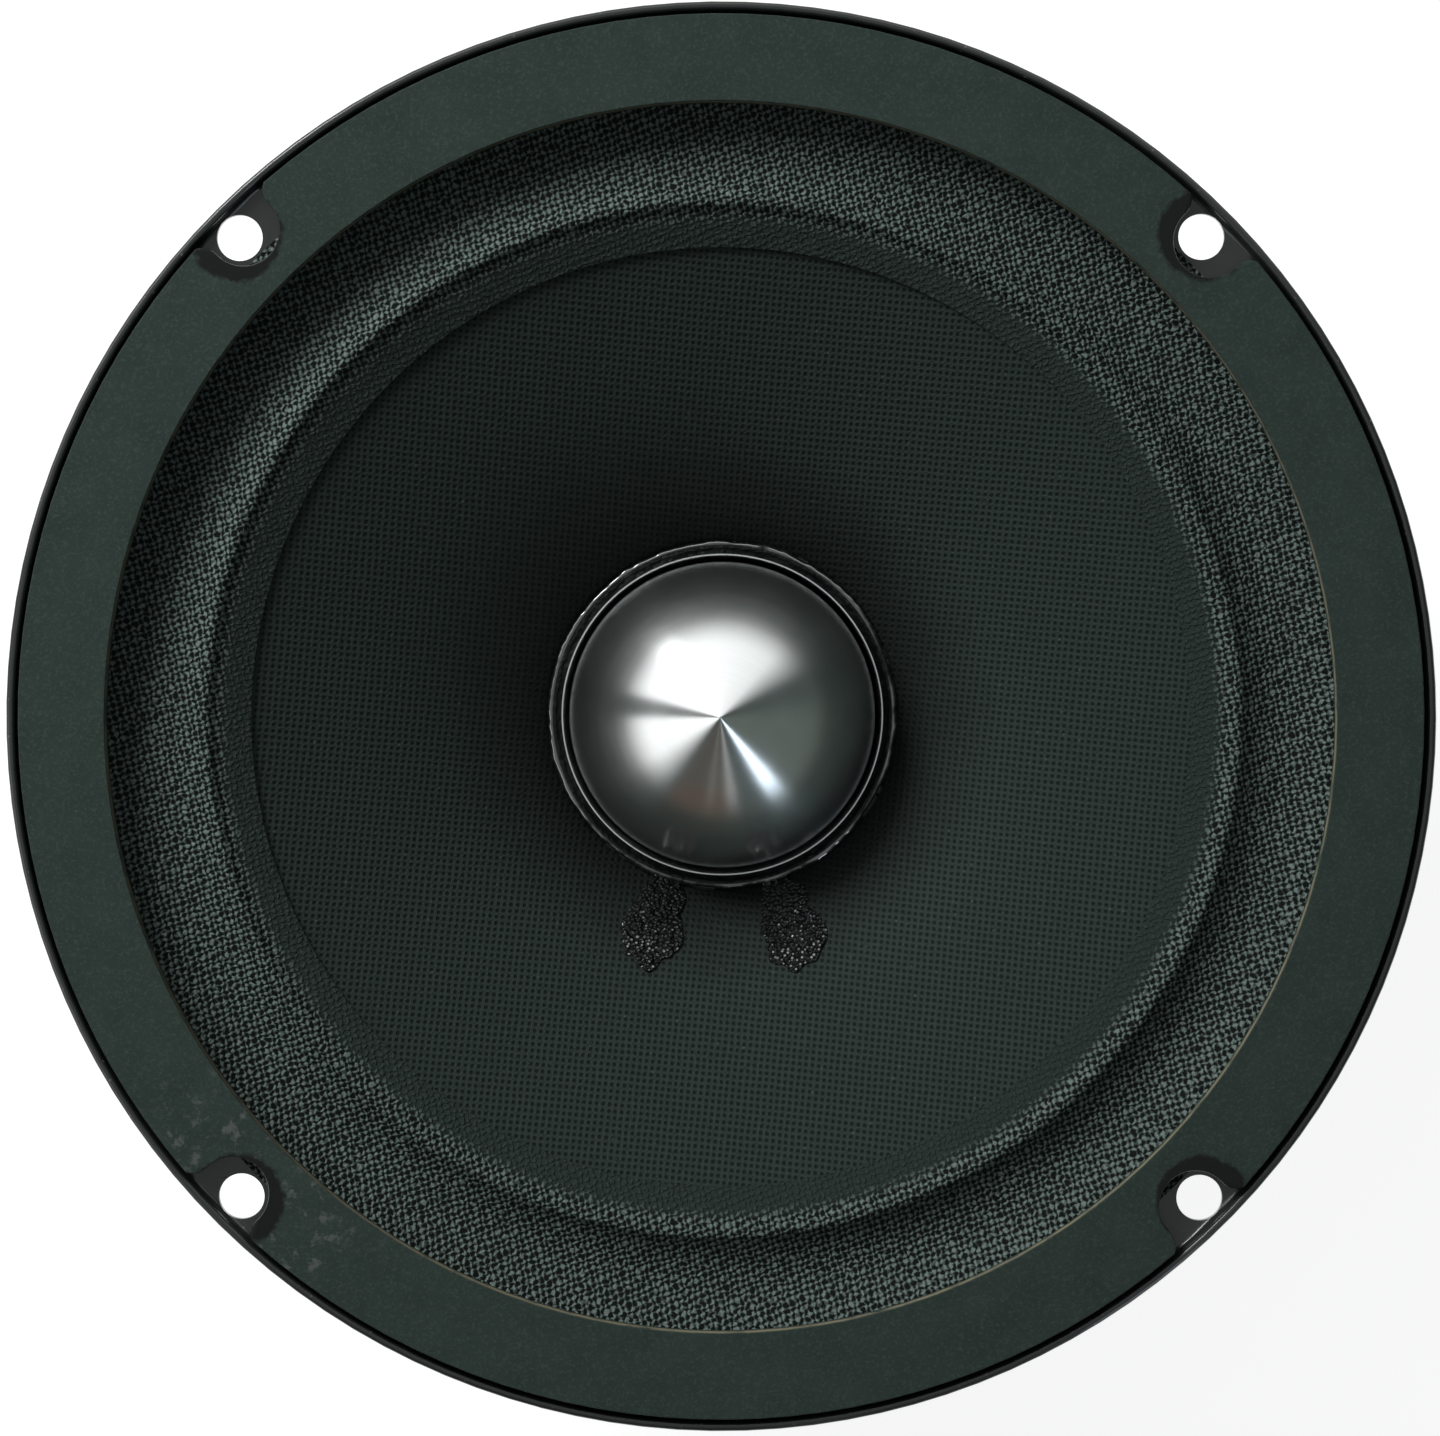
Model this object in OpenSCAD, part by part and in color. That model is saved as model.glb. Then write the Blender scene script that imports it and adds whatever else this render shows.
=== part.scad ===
// Midrange loudspeaker driver with a pressed steel basket, cloth edge and a fixed bullet in the middle.
// The origin is on the axis, in the flange's rear seating face. +Z points out of the front.

/* [Flange] */
// Outer diameter of the flange
flange_d = 165; // [130:1:210]
// Distance of the bolt holes' centres from the flange's outer edge
bolt_edge = 4; // [3.8:0.1:5]
// Diameter of the bolt holes
bolt_hole_d = 5.3; // [4:0.1:6]
// How far the two locating corners stand out of the round outline
corner_proud = 0.8; // [0.2:0.1:1.5]
// Height of the turned-up lip above the seating face
lip_h = 2.8; // [2:0.1:4]

/* [Basket] */
// Thickness of the basket's steel sheet
sheet_t = 1; // [0.8:0.1:1.3]
// Depth from the seating face to the top plate
basket_depth = 40; // [32:0.5:52]
// Depth of the plain round wall behind the flange
wall_h = 11; // [7:0.5:14]
// Height of the spider's landing above the top plate
landing_h = 11; // [8.5:0.5:14]
// Number of arms between the windows
arm_count = 6; // [4:1:8]
// Width of one arm
arm_w = 13; // [10:0.5:16]

/* [Gasket] */
// Radial width of the fibre gasket
gasket_w = 10; // [8:0.1:12]
// Thickness of the gasket
gasket_t = 2.5; // [1.5:0.1:4]
// Radius of the gasket's notches round the bolt holes
notch_r = 4.2; // [3.8:0.1:5]
// Angle by which the gasket was glued on out of line with the holes
gasket_turn = -0.75; // [-1:0.05:0.5]

/* [Cone and edge] */
// Thickness of the cone
cone_t = 0.8; // [0.5:0.05:1.2]
// Thickness of the cloth edge
cloth_t = 0.5; // [0.3:0.05:0.7]
// Radial width of the edge's valley, from the gasket to the crest
valley_w = 11.2; // [9:0.1:14]
// Depth of the valley below the cloth's glued rim
valley_d = 3.45; // [2.5:0.05:4.5]
// Width of the band by which the cloth is glued to the cone
bond_w = 3.7; // [2.5:0.1:5]

/* [Voice coil] */
// Inner diameter of the voice coil former
coil_d = 38.6; // [32:0.1:46]
// Thickness of the former
former_t = 0.2; // [0.15:0.05:0.3]
// Height of the winding
winding_h = 11; // [8:0.5:14]
// Radial thickness of the winding
winding_t = 0.5; // [0.3:0.05:0.6]

/* [Spider] */
// Outer diameter of the spider
spider_d = 87; // [78:0.5:92]
// Thickness of the spider's cloth
spider_t = 0.4; // [0.3:0.05:0.6]
// Number of the spider's corrugations
spider_rolls = 5; // [3:1:7]
// Height of one corrugation above the spider's middle plane
roll_h = 1.1; // [0.6:0.1:1.5]

/* [Magnet] */
// Outer diameter of the ferrite ring
magnet_d = 100; // [90:1:120]
// Thickness of the ferrite ring
magnet_h = 15; // [12:0.5:20]
// Outer diameter of both steel plates
plate_d = 90; // [86:1:110]
// Thickness of both steel plates
plate_t = 6; // [5:0.5:8]

/* [Bullet] */
// Gap between the bullet and the inside of the former
bullet_gap = 0.8; // [0.6:0.1:3]
// Slope of the bullet's pointed tip, in degrees
tip_slope = 25; // [15:1:30]
// Share of the bullet's radius that the pointed tip covers
tip_share = 0.42; // [0.3:0.02:0.6]
// Depth of the bullet's tip behind the seating face
tip_depth = 2; // [0:0.5:6]
// Diameter of the screw that holds the bullet
screw_d = 6; // [5:0.5:6]

/* [Terminals] */
// Width of the positive blade
blade_plus_w = 4.8; // [4:0.1:6.3]
// Width of the negative blade
blade_minus_w = 2.8; // [2:0.1:4]
// Length of each blade
blade_l = 8; // [6:0.5:9]
// Angle of the two leads on either side of the terminal arm
lead_turn = 18; // [16:0.5:22]

/* [Hidden] */
$fn = 96;

// Small distances that keep pieces apart, and overlaps that make a cut clean.
eps = 0.1;
gasket_gap = 0.6;
pole_gap = 0.4;
plate_gap = 0.45;
glue_gap = 0.2;
hole_gap = 0.1;

// Flange, from the outer edge inwards.
flange_r = flange_d / 2;
lip_w = sheet_t;
bolt_r = flange_r - bolt_edge;
bolt_turns = [45 : 90 : 315];
corner_turns = [45, 225];
gasket_or = flange_r - lip_w - gasket_gap;
gasket_ir = gasket_or - gasket_w;
gasket_z = sheet_t + cloth_t;
wall_r = gasket_ir + 1.1;
bend_r = 1.2;

// Basket, from the flange down to the top plate.
landing_z = -basket_depth + landing_h;
spider_r = spider_d / 2;
landing_or = spider_r + 2;
cup_r = spider_r - 6;
slope_bottom = landing_z - sheet_t / 2;
slope_angle = atan2(-wall_h - slope_bottom, wall_r - landing_or);
terminal_turn = 270;

// Coil and neck, from the axis outwards.
former_ir = coil_d / 2;
former_or = former_ir + former_t;
collar_t = 0.2;
collar_r = former_or + collar_t;
leadout_t = 0.15;
neck_r = collar_r + leadout_t + eps / 2;
pole_r = former_ir - pole_gap;
bore_r = former_or + winding_t + plate_gap;
magnet_ir = bore_r + 3;
cup_hole_r = bore_r + 2;
plate_z = -basket_depth - plate_t;
winding_z = -basket_depth - plate_t / 2 - winding_h / 2;
former_bottom = winding_z - 1;
neck_z = landing_z + 3.6;
former_top = neck_z + 3.1;
magnet_z = plate_z - magnet_h;
rear_z = magnet_z - plate_t;
pole_top = -basket_depth + 1;

// Cloth edge: a valley arc, a tight crest and the band that lies on the cone.
rim_z = sheet_t + cloth_t / 2;
valley_r = gasket_ir - valley_w / 2 - 0.1;
valley_span = gasket_ir - valley_r;
valley_bend = (valley_span * valley_span + valley_d * valley_d) / (2 * valley_d);
valley_mid_z = rim_z - valley_d + valley_bend;
valley_out = acos((valley_mid_z - sheet_t) / (valley_bend + cloth_t / 2));
crest_angle = 46;
crest_bend = 0.9;
crest_r = valley_r - (valley_bend + crest_bend) * sin(crest_angle);
crest_mid_z = valley_mid_z - (valley_bend + crest_bend) * cos(crest_angle);
drop_angle = 50;
drop_l = 0.8;
edge_slope = 23;
foot_bend = 0.8;
drop_r = crest_r - crest_bend * sin(drop_angle) - drop_l * cos(drop_angle);
drop_z = crest_mid_z + crest_bend * cos(drop_angle) - drop_l * sin(drop_angle);
foot_r = drop_r - foot_bend * (sin(drop_angle) - sin(edge_slope));
foot_z = drop_z - foot_bend * (cos(edge_slope) - cos(drop_angle));
cone_r = foot_r;
bond_r = foot_r - bond_w;

// Cone: its upper face runs from the neck to the edge, steep at the neck and flat at the edge.
cone_edge_z = foot_z - cloth_t / 2 / cos(edge_slope);
cone_run = cone_r - neck_r;
cone_rise = cone_edge_z - neck_z;
flare = 5;
edge_share = tan(edge_slope) * cone_run / cone_rise;

// Bullet.
bullet_r = former_ir - bullet_gap;
tip_r = bullet_r * tip_share;
shoulder_bend = (bullet_r - tip_r) / (1 - sin(tip_slope));
shoulder_z = -tip_depth - tip_r * tan(tip_slope) - shoulder_bend * cos(tip_slope);
tap_depth = 11;
head_r = screw_d * 0.83;
head_h = screw_d;
socket_af = screw_d * 0.83;
counterbore_h = head_h + 0.6;

// Leads: where they pass the cone and where they are soldered.
eyelet_r = neck_r + 6;
eyelet_shank = 0.9;
eyelet_head = 1.6;
lead_d = 1.3;
lead_gap = 0.06;
lead_drop = 5.5;
lead_rise = 15;
lead_lift = 3.4;
lead_steps = 20;

// Terminal board, on the outside of the terminal arm.
board_t = 1.5;
board_w = 32;
board_l = 12;
board_mid = 0.42;
lug_x = 11;
lug_t = 0.8;
rivet_x = 3.2;
rivet_r = 1.5;
lug_rivet_r = 1.2;

// --- Outline helpers ---

// Points of an arc from angle a0 to a1, in steps.
function arc(x, y, r, a0, a1, steps) =
    [for (i = [0 : steps]) let (a = a0 + (a1 - a0) * i / steps) [x + r * cos(a), y + r * sin(a)]];

// Unit direction from one point to the next.
function along(a, b) = (b - a) / norm(b - a);

// A path moved sideways by d, with mitred corners.
function beside(path, d) =
    [for (i = [0 : len(path) - 1])
        let (before = along(path[max(i - 1, 0)], path[max(i, 1)]),
             after = along(path[min(i, len(path) - 2)], path[min(i + 1, len(path) - 1)]),
             way = before + after,
             normal = [-way[1], way[0]] / norm(way))
        path[i] + normal * d / (normal * [-after[1], after[0]])];

function reversed(list) = [for (i = [len(list) - 1 : -1 : 0]) list[i]];

// A path as a closed strip between two sideways moves.
function strip(path, d0, d1) = concat(beside(path, d0), reversed(beside(path, d1)));

// A path whose inner corners are rounded with radius r.
function rounded(path, r, steps) =
    concat([path[0]],
           [for (i = [1 : len(path) - 2])
               let (a = along(path[i], path[i - 1]), b = along(path[i], path[i + 1]),
                    half = acos(max(-1, min(1, a * b))) / 2,
                    centre = path[i] + (a + b) / norm(a + b) * r / sin(half),
                    from = path[i] + a * r / tan(half), to = path[i] + b * r / tan(half),
                    a0 = atan2(from[1] - centre[1], from[0] - centre[0]),
                    turn = atan2(to[1] - centre[1], to[0] - centre[0]) - a0,
                    short = turn > 180 ? turn - 360 : turn < -180 ? turn + 360 : turn)
               each arc(centre[0], centre[1], r, a0, a0 + short, steps)],
           [path[len(path) - 1]]);

module ring(outer_r, inner_r, z, h) {
    translate([0, 0, z]) difference() {
        cylinder(r = outer_r, h = h);
        translate([0, 0, -eps]) cylinder(r = inner_r, h = h + 2 * eps);
    }
}

module turned(points) {
    rotate_extrude() polygon(points);
}

// Places its children at each angle round the axis.
module around(turns, r = 0) {
    for (a = turns) rotate(a) translate([r, 0, 0]) children();
}

// --- Basket ---

basket_path = rounded([[flange_r - lip_w / 2, lip_h], [flange_r - lip_w / 2, sheet_t / 2],
                       [wall_r, sheet_t / 2], [wall_r, -wall_h], [landing_or, slope_bottom],
                       [cup_r, slope_bottom], [cup_r, -basket_depth + sheet_t / 2],
                       [cup_hole_r, -basket_depth + sheet_t / 2]], bend_r, 4);

// The slack between the arms, cut straight down with round corners.
module window() {
    outer = wall_r - 3.4;
    inner = landing_or + 3;
    corner = 2.5;
    half = 180 / arm_count;
    side = arm_w / 2;
    module wedge(extra) {
        intersection() {
            rotate(-half) translate([0, side + extra]) square([flange_r, flange_r]);
            rotate(half) translate([0, -side - extra - flange_r]) square([flange_r, flange_r]);
        }
    }
    module band(from, to) {
        difference() {
            circle(to);
            circle(from);
        }
    }
    function pin(r, s) = let (a = half - asin((side + corner) / r)) [r * cos(a), s * r * sin(a)];
    translate([0, 0, -basket_depth + sheet_t + eps])
        linear_extrude(basket_depth - wall_h / 2) {
            intersection() {
                wedge(corner);
                band(inner, outer);
            }
            intersection() {
                wedge(0);
                band(inner + corner, outer - corner);
            }
            for (s = [-1, 1], r = [inner + corner, outer - corner])
                translate(pin(r, s)) circle(corner);
        }
}

// A corner of the outline: two tangents that meet outside the round edge.
module outline_corner(r, proud) {
    half = acos(r / (r + proud));
    polygon([[r - 4, 0], r * [cos(half), -sin(half)], [r + proud, 0], r * [cos(half), sin(half)]]);
}

module basket() {
    color("#16191a") difference() {
        union() {
            turned(strip(basket_path, -sheet_t / 2, sheet_t / 2));
            around(corner_turns) linear_extrude(lip_h) difference() {
                outline_corner(flange_r, corner_proud);
                circle(flange_r - lip_w / 2);
            }
        }
        around(bolt_turns, bolt_r) translate([0, 0, -eps]) cylinder(d = bolt_hole_d, h = sheet_t + 2 * eps);
        around([for (i = [0 : arm_count - 1]) terminal_turn + (i + 0.5) * 360 / arm_count]) window();
        around(bolt_turns, rivet_ring_r) translate([0, 0, -basket_depth - eps])
            cylinder(r = plate_rivet_r, h = sheet_t + 2 * eps);
        on_board() board_holes(rivet_r);
    }
}

// Rivets that hold the basket on the top plate.
rivet_ring_r = (cup_hole_r + cup_r) / 2;
plate_rivet_r = 2;
plate_rivet_head = 3.6;
plate_rivet_deep = 4;

module basket_rivets() {
    color("silver") around(bolt_turns, rivet_ring_r) translate([0, 0, -basket_depth + sheet_t])
        rotate_extrude() {
            translate([0, -sheet_t - plate_rivet_deep]) square([plate_rivet_r, sheet_t + plate_rivet_deep]);
            intersection() {
                square([plate_rivet_head, plate_rivet_head]);
                translate([0, 1.6 - 4.85]) circle(4.85);
            }
        }
}

// --- Gasket ---

module gasket_notch() {
    mouth = 2.2;
    translate([bolt_r, 0]) {
        circle(notch_r);
        translate([0, -notch_r]) square([bolt_edge + 1, 2 * notch_r]);
    }
    for (s = [-1, 1]) scale([1, s]) translate([gasket_or - mouth, notch_r]) difference() {
        square([mouth + 1, mouth]);
        translate([0, mouth]) circle(mouth);
    }
}

module gasket() {
    color("#2d3735") translate([0, 0, gasket_z]) linear_extrude(gasket_t) difference() {
        circle(gasket_or);
        circle(gasket_ir);
        around([for (a = bolt_turns) a + gasket_turn]) gasket_notch();
    }
}

// --- Magnet system ---

module top_plate() {
    color("#2b2d2e") difference() {
        turned(bevelled(plate_d / 2, bore_r, plate_z, plate_t, 0.6));
        around(bolt_turns, rivet_ring_r) translate([0, 0, -basket_depth - plate_rivet_deep])
            cylinder(r = plate_rivet_r, h = plate_rivet_deep + eps);
    }
}

// A ring's section with bevelled outer corners.
function bevelled(outer_r, inner_r, z, h, bevel) =
    [[inner_r, z], [outer_r - bevel, z], [outer_r, z + bevel], [outer_r, z + h - bevel],
     [outer_r - bevel, z + h], [inner_r, z + h]];

module magnet() {
    color("#3b3d3f") turned(bevelled(magnet_d / 2, magnet_ir, magnet_z, magnet_h, 1.2));
}

module yoke() {
    edge = 1.5;
    color("#2b2d2e") difference() {
        union() {
            turned([[0, rear_z], [plate_d / 2 - edge, rear_z], [plate_d / 2, rear_z + edge],
                    [plate_d / 2, magnet_z - 0.6], [plate_d / 2 - 0.6, magnet_z], [0, magnet_z]]);
            translate([0, 0, magnet_z - eps]) cylinder(r = pole_r, h = pole_top - magnet_z + eps);
        }
        translate([0, 0, rear_z - eps]) cylinder(r = head_r + 0.4, h = counterbore_h + eps);
        translate([0, 0, rear_z]) cylinder(r = screw_d / 2 + hole_gap, h = pole_top - rear_z + eps);
    }
}

// --- Bullet ---

module phase_plug() {
    color("#c9cdcf") difference() {
        turned(concat([[0, pole_top], [bullet_r, pole_top]],
                      arc(bullet_r - shoulder_bend, shoulder_z, shoulder_bend, 0, 90 - tip_slope, 14),
                      [[0, -tip_depth]]));
        translate([0, 0, pole_top - eps]) cylinder(d = screw_d, h = tap_depth + eps);
    }
}

module plug_screw() {
    color("#8b8f92") translate([0, 0, rear_z + counterbore_h]) difference() {
        union() {
            cylinder(d = screw_d, h = pole_top + tap_depth - 1 - rear_z - counterbore_h);
            translate([0, 0, -head_h]) cylinder(r = head_r, h = head_h);
        }
        translate([0, 0, -head_h - eps]) cylinder(d = socket_af / cos(30), h = head_h / 2 + eps, $fn = 6);
    }
}

// --- Cone, cloth edge and coil ---

// Height of the cone's upper face at radius r.
function cone_top(r) =
    let (s = (r - neck_r) / cone_run)
    neck_z + cone_rise * (edge_share * s + (1 - edge_share) * (1 - pow(1 - s, flare)));

cone_steps = 26;
cone_path = [for (i = [0 : cone_steps]) let (r = neck_r + cone_run * pow(i / cone_steps, 1.4)) [r, cone_top(r)]];

module cone() {
    color("#1b1e1e") difference() {
        turned(strip(cone_path, 0, -cone_t));
        eyelet_places() {
            cylinder(r = eyelet_shank, h = 8, center = true);
            cylinder(r = eyelet_head, h = 2);
            translate([0, 0, -cone_t - 2]) cylinder(r = eyelet_head, h = 2);
        }
    }
}

// Points of the cone's upper face between two radii.
function cone_points(from, to) = [for (p = cone_path) if (p[0] > from && p[0] < to) p];

// The cloth's lower line, from the band on the cone out to the glued rim.
surround_path = concat(cone_points(bond_r, cone_r - eps),
                       arc(drop_r - foot_bend * sin(drop_angle), drop_z + foot_bend * cos(drop_angle),
                           foot_bend + cloth_t / 2, edge_slope - 90, drop_angle - 90, 4),
                       arc(crest_r, crest_mid_z, crest_bend - cloth_t / 2, 90 + drop_angle, 90 - crest_angle, 8),
                       arc(valley_r, valley_mid_z, valley_bend + cloth_t / 2, -85 - crest_angle, valley_out - 90, 18),
                       [[bolt_r - bolt_hole_d / 2 - 0.4, sheet_t]]);

module surround() {
    color("#39413f") turned(strip(surround_path, 0, cloth_t));
}

module voice_coil_former() {
    color("#b9bcbd") ring(former_or, former_ir, former_bottom, former_top - former_bottom);
}

module coil_collar() {
    low = winding_z + winding_h + 0.3;
    color("#a9825a") ring(collar_r, former_or, low, neck_z + 1.6 - low);
}

module coil_winding() {
    color("#b4653a") ring(former_or + winding_t, former_or, winding_z, winding_h);
}

// Two flat leads from the winding up the collar to the neck.
module coil_leadouts() {
    wide = 1.6;
    low = winding_z + winding_h;
    color("#b4653a") intersection() {
        ring(collar_r + leadout_t, collar_r, low, neck_z - low);
        lead_places() translate([0, -wide / 2, low - 1]) cube([former_or + 5, wide, neck_z - low + 2]);
    }
}

module neck_glue() {
    foot = [for (i = [0 : 3]) cone_path[i]];
    color("#0c0d0d") turned(concat([[collar_r, neck_z]], foot,
                                   [foot[1] + [0.3, 1.7], [collar_r, neck_z + 1.55]]));
}

// --- Spider ---

spider_z = landing_z + spider_t / 2;
spider_in = neck_r + 1.2;
spider_out = cup_r - sheet_t / 2 - 0.6;
spider_path = concat([[neck_r, spider_z], [spider_in - 0.3, spider_z]],
                     [for (i = [0 : spider_rolls * 8])
                         let (s = i / (spider_rolls * 8))
                         [spider_in + (spider_out - spider_in) * s,
                          spider_z + roll_h * sin(360 * spider_rolls * s) * (0.75 + 0.25 * s)]],
                     [[spider_out + 0.3, spider_z], [spider_r, spider_z]]);

module spider() {
    color("#8a6a3c") turned(strip(spider_path, -spider_t / 2, spider_t / 2));
}

module spider_glue() {
    color("#0c0d0d") difference() {
        turned([[collar_r, spider_z + spider_t / 2], [spider_in - 0.4, spider_z + spider_t / 2],
                [collar_r + 0.4, spider_z + 1.3], [collar_r, spider_z + 1.3]]);
        coil_leadouts();
    }
}

// --- Leads ---

module lead_places() {
    around([terminal_turn - lead_turn, terminal_turn + lead_turn]) children();
}

head_t = 0.3;
eyelet_tilt = atan(cone_top(eyelet_r + 0.5) - cone_top(eyelet_r - 0.5));

// Puts its children on the cone's upper face at each eyelet, upright on the face.
module eyelet_places() {
    lead_places() translate([eyelet_r, 0, cone_top(eyelet_r)]) rotate([0, -eyelet_tilt, 0]) children();
}

module lead_eyelets() {
    color("#b08d4a") eyelet_places() translate([0, 0, -cone_t - head_t]) {
        cylinder(r = eyelet_shank, h = cone_t + 2 * head_t);
        cylinder(r = eyelet_head, h = head_t);
        translate([0, 0, cone_t + head_t]) cylinder(r = eyelet_head, h = head_t);
    }
}

module lead_glue_patches() {
    half = 7.5;
    patch_t = 0.7;
    foot = cone_points(neck_r + 1.9, eyelet_r + 3.8);
    color("#0c0d0d") difference() {
        lead_places() rotate(-half) rotate_extrude(angle = 2 * half) polygon(strip(foot, 0, patch_t));
        eyelet_places() translate([0, 0, -0.3]) cylinder(r = eyelet_head + hole_gap, h = head_t + 0.35);
    }
}

// A tube of sides corners swept along points, as one closed solid.
module tube(points, r, sides) {
    last = len(points) - 1;
    function heading(i) = along(points[max(i - 1, 0)], points[min(i + 1, last)]);
    function side_way(i) = let (c = cross(heading(i), [0, 1, 0])) c / norm(c);
    rings = [for (i = [0 : last], k = [0 : sides - 1])
                let (u = side_way(i), v = cross(heading(i), u), a = 360 * k / sides)
                points[i] + r * (cos(a) * u + sin(a) * v)];
    faces = concat([[for (k = [0 : sides - 1]) k]],
                   [for (i = [0 : last - 1], k = [0 : sides - 1]) let (n = (k + 1) % sides)
                       each [[i * sides + k, (i + 1) * sides + n, i * sides + n],
                             [i * sides + k, (i + 1) * sides + k, (i + 1) * sides + n]]],
                   [[for (k = [sides - 1 : -1 : 0]) last * sides + k]]);
    polyhedron(rings, faces);
}

// Middle line of one lead, in the frame of the terminal arm: X outwards, Y across, Z up. It drops from its
// eyelet, runs out over the spider and rises along the board's inner side to the rivet.
function lead_route(side) =
    let (out = [cos(lead_turn), side * sin(lead_turn)],
         down = [sin(eyelet_tilt), -cos(eyelet_tilt)],
         up = [cos(slope_angle), sin(slope_angle)],
         start = [eyelet_r, cone_top(eyelet_r)] + down * (cone_t + head_t + lead_gap),
         turn = start + down * lead_drop,
         end = [board_r, board_z] + [sin(slope_angle), -cos(slope_angle)] * (sheet_t / 2 + hole_gap - 1.1),
         rise = end - up * lead_rise + [-up[1], up[0]] * lead_lift,
         p = [[start[0] * out[0], start[0] * out[1], start[1]], [turn[0] * out[0], turn[0] * out[1], turn[1]],
              [rise[0], side * lug_x, rise[1]], [end[0], side * lug_x, end[1]]])
    [for (i = [0 : lead_steps]) let (t = i / lead_steps, u = 1 - t)
        u * u * u * p[0] + 3 * u * u * t * p[1] + 3 * u * t * t * p[2] + t * t * t * p[3]];

module tinsel_lead_positive() {
    color("#a9a59b") rotate(terminal_turn) tube(lead_route(1), lead_d / 2, 8);
}

module tinsel_lead_negative() {
    color("#a9a59b") rotate(terminal_turn) tube(lead_route(-1), lead_d / 2, 8);
}

// --- Terminals ---

board_r = wall_r - (wall_r - landing_or) * board_mid;
board_z = -wall_h - (wall_r - landing_or) * board_mid * tan(slope_angle);

// Puts its children on the terminal arm's outer face: X across the arm, Y up the slope, Z out of the face.
module on_board() {
    rotate(terminal_turn) translate([board_r, 0, board_z]) rotate([0, 180 - slope_angle, 0])
        rotate(90) translate([0, 0, sheet_t / 2]) children();
}

module board_holes(r) {
    for (y = [-1, 1]) translate([0, y * rivet_x, -2 * sheet_t]) cylinder(r = r, h = 6);
}

module lug_places() {
    for (x = [-1, 1]) translate([x * lug_x, 0, 0]) children();
}

module terminal_board() {
    color("#5a3a22") on_board() translate([0, 0, hole_gap]) difference() {
        translate([-board_w / 2, -board_l / 2, 0]) cube([board_w, board_l, board_t]);
        board_holes(rivet_r);
        lug_places() translate([0, 0, -eps]) cylinder(r = lug_rivet_r, h = board_t + 2 * eps);
    }
}

module board_rivets() {
    head = 2.5;
    color("silver") on_board() for (y = [-1, 1]) translate([0, y * rivet_x, 0]) {
        translate([0, 0, -sheet_t - 0.6]) cylinder(r = rivet_r, h = sheet_t + 0.6 + hole_gap + board_t);
        translate([0, 0, -sheet_t - 0.9]) cylinder(r = head, h = 0.7);
        translate([0, 0, board_t + hole_gap]) cylinder(r = head, h = 0.9);
    }
}

// One lug: a foot flat on the board and a blade that stands out of its lower end.
module lug(blade_w) {
    foot_l = 8;
    foot_w = 6;
    translate([0, 0, board_t + hole_gap]) difference() {
        union() {
            translate([-foot_w / 2, -foot_l / 2, 0]) cube([foot_w, foot_l, lug_t]);
            translate([-blade_w / 2, -foot_l / 2, 0]) cube([blade_w, lug_t, lug_t + blade_l - 1]);
            translate([-blade_w / 2 + 0.6, -foot_l / 2, 0]) cube([blade_w - 1.2, lug_t, lug_t + blade_l]);
        }
        translate([0, 0, -eps]) cylinder(r = lug_rivet_r, h = lug_t + 2 * eps);
        translate([0, -foot_l / 2 - eps, lug_t + blade_l * 0.6]) rotate([-90, 0, 0])
            cylinder(r = 0.7, h = lug_t + 2 * eps);
    }
}

module terminal_positive() {
    color("#c9ccce") on_board() translate([lug_x, 0, 0]) lug(blade_plus_w);
}

module terminal_negative() {
    color("#c9ccce") on_board() translate([-lug_x, 0, 0]) lug(blade_minus_w);
}

module terminal_rivets() {
    head = 2;
    color("#b08d4a") on_board() lug_places() {
        translate([0, 0, hole_gap]) cylinder(r = lug_rivet_r, h = board_t + lug_t);
        translate([0, 0, hole_gap - 0.4]) cylinder(r = head, h = 0.4);
        translate([0, 0, board_t + lug_t + hole_gap]) cylinder(r = head, h = 0.6);
    }
}

// Solder that joins each lead to its rivet on the board's inner side.
module solder_joints() {
    color("#d5d7d8") difference() {
        on_board() lug_places() translate([0, 0, hole_gap - 0.4]) rotate([180, 0, 0])
            intersection() {
                translate([0, 0, -1.1]) sphere(r = 2.4);
                cylinder(r = 3, h = 3);
            }
        tinsel_lead_positive();
        tinsel_lead_negative();
    }
}

basket();
gasket();
top_plate();
magnet();
yoke();
phase_plug();
plug_screw();
basket_rivets();
terminal_board();
board_rivets();
terminal_positive();
terminal_negative();
terminal_rivets();
solder_joints();
cone();
surround();
spider();
voice_coil_former();
coil_collar();
coil_winding();
coil_leadouts();
neck_glue();
spider_glue();
lead_eyelets();
lead_glue_patches();
tinsel_lead_positive();
tinsel_lead_negative();
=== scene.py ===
import logging
import math
from dataclasses import dataclass
from enum import Enum
from typing import Callable, Optional, Sequence, Union

import bmesh
import bpy
from mathutils import Matrix, Vector, noise


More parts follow.
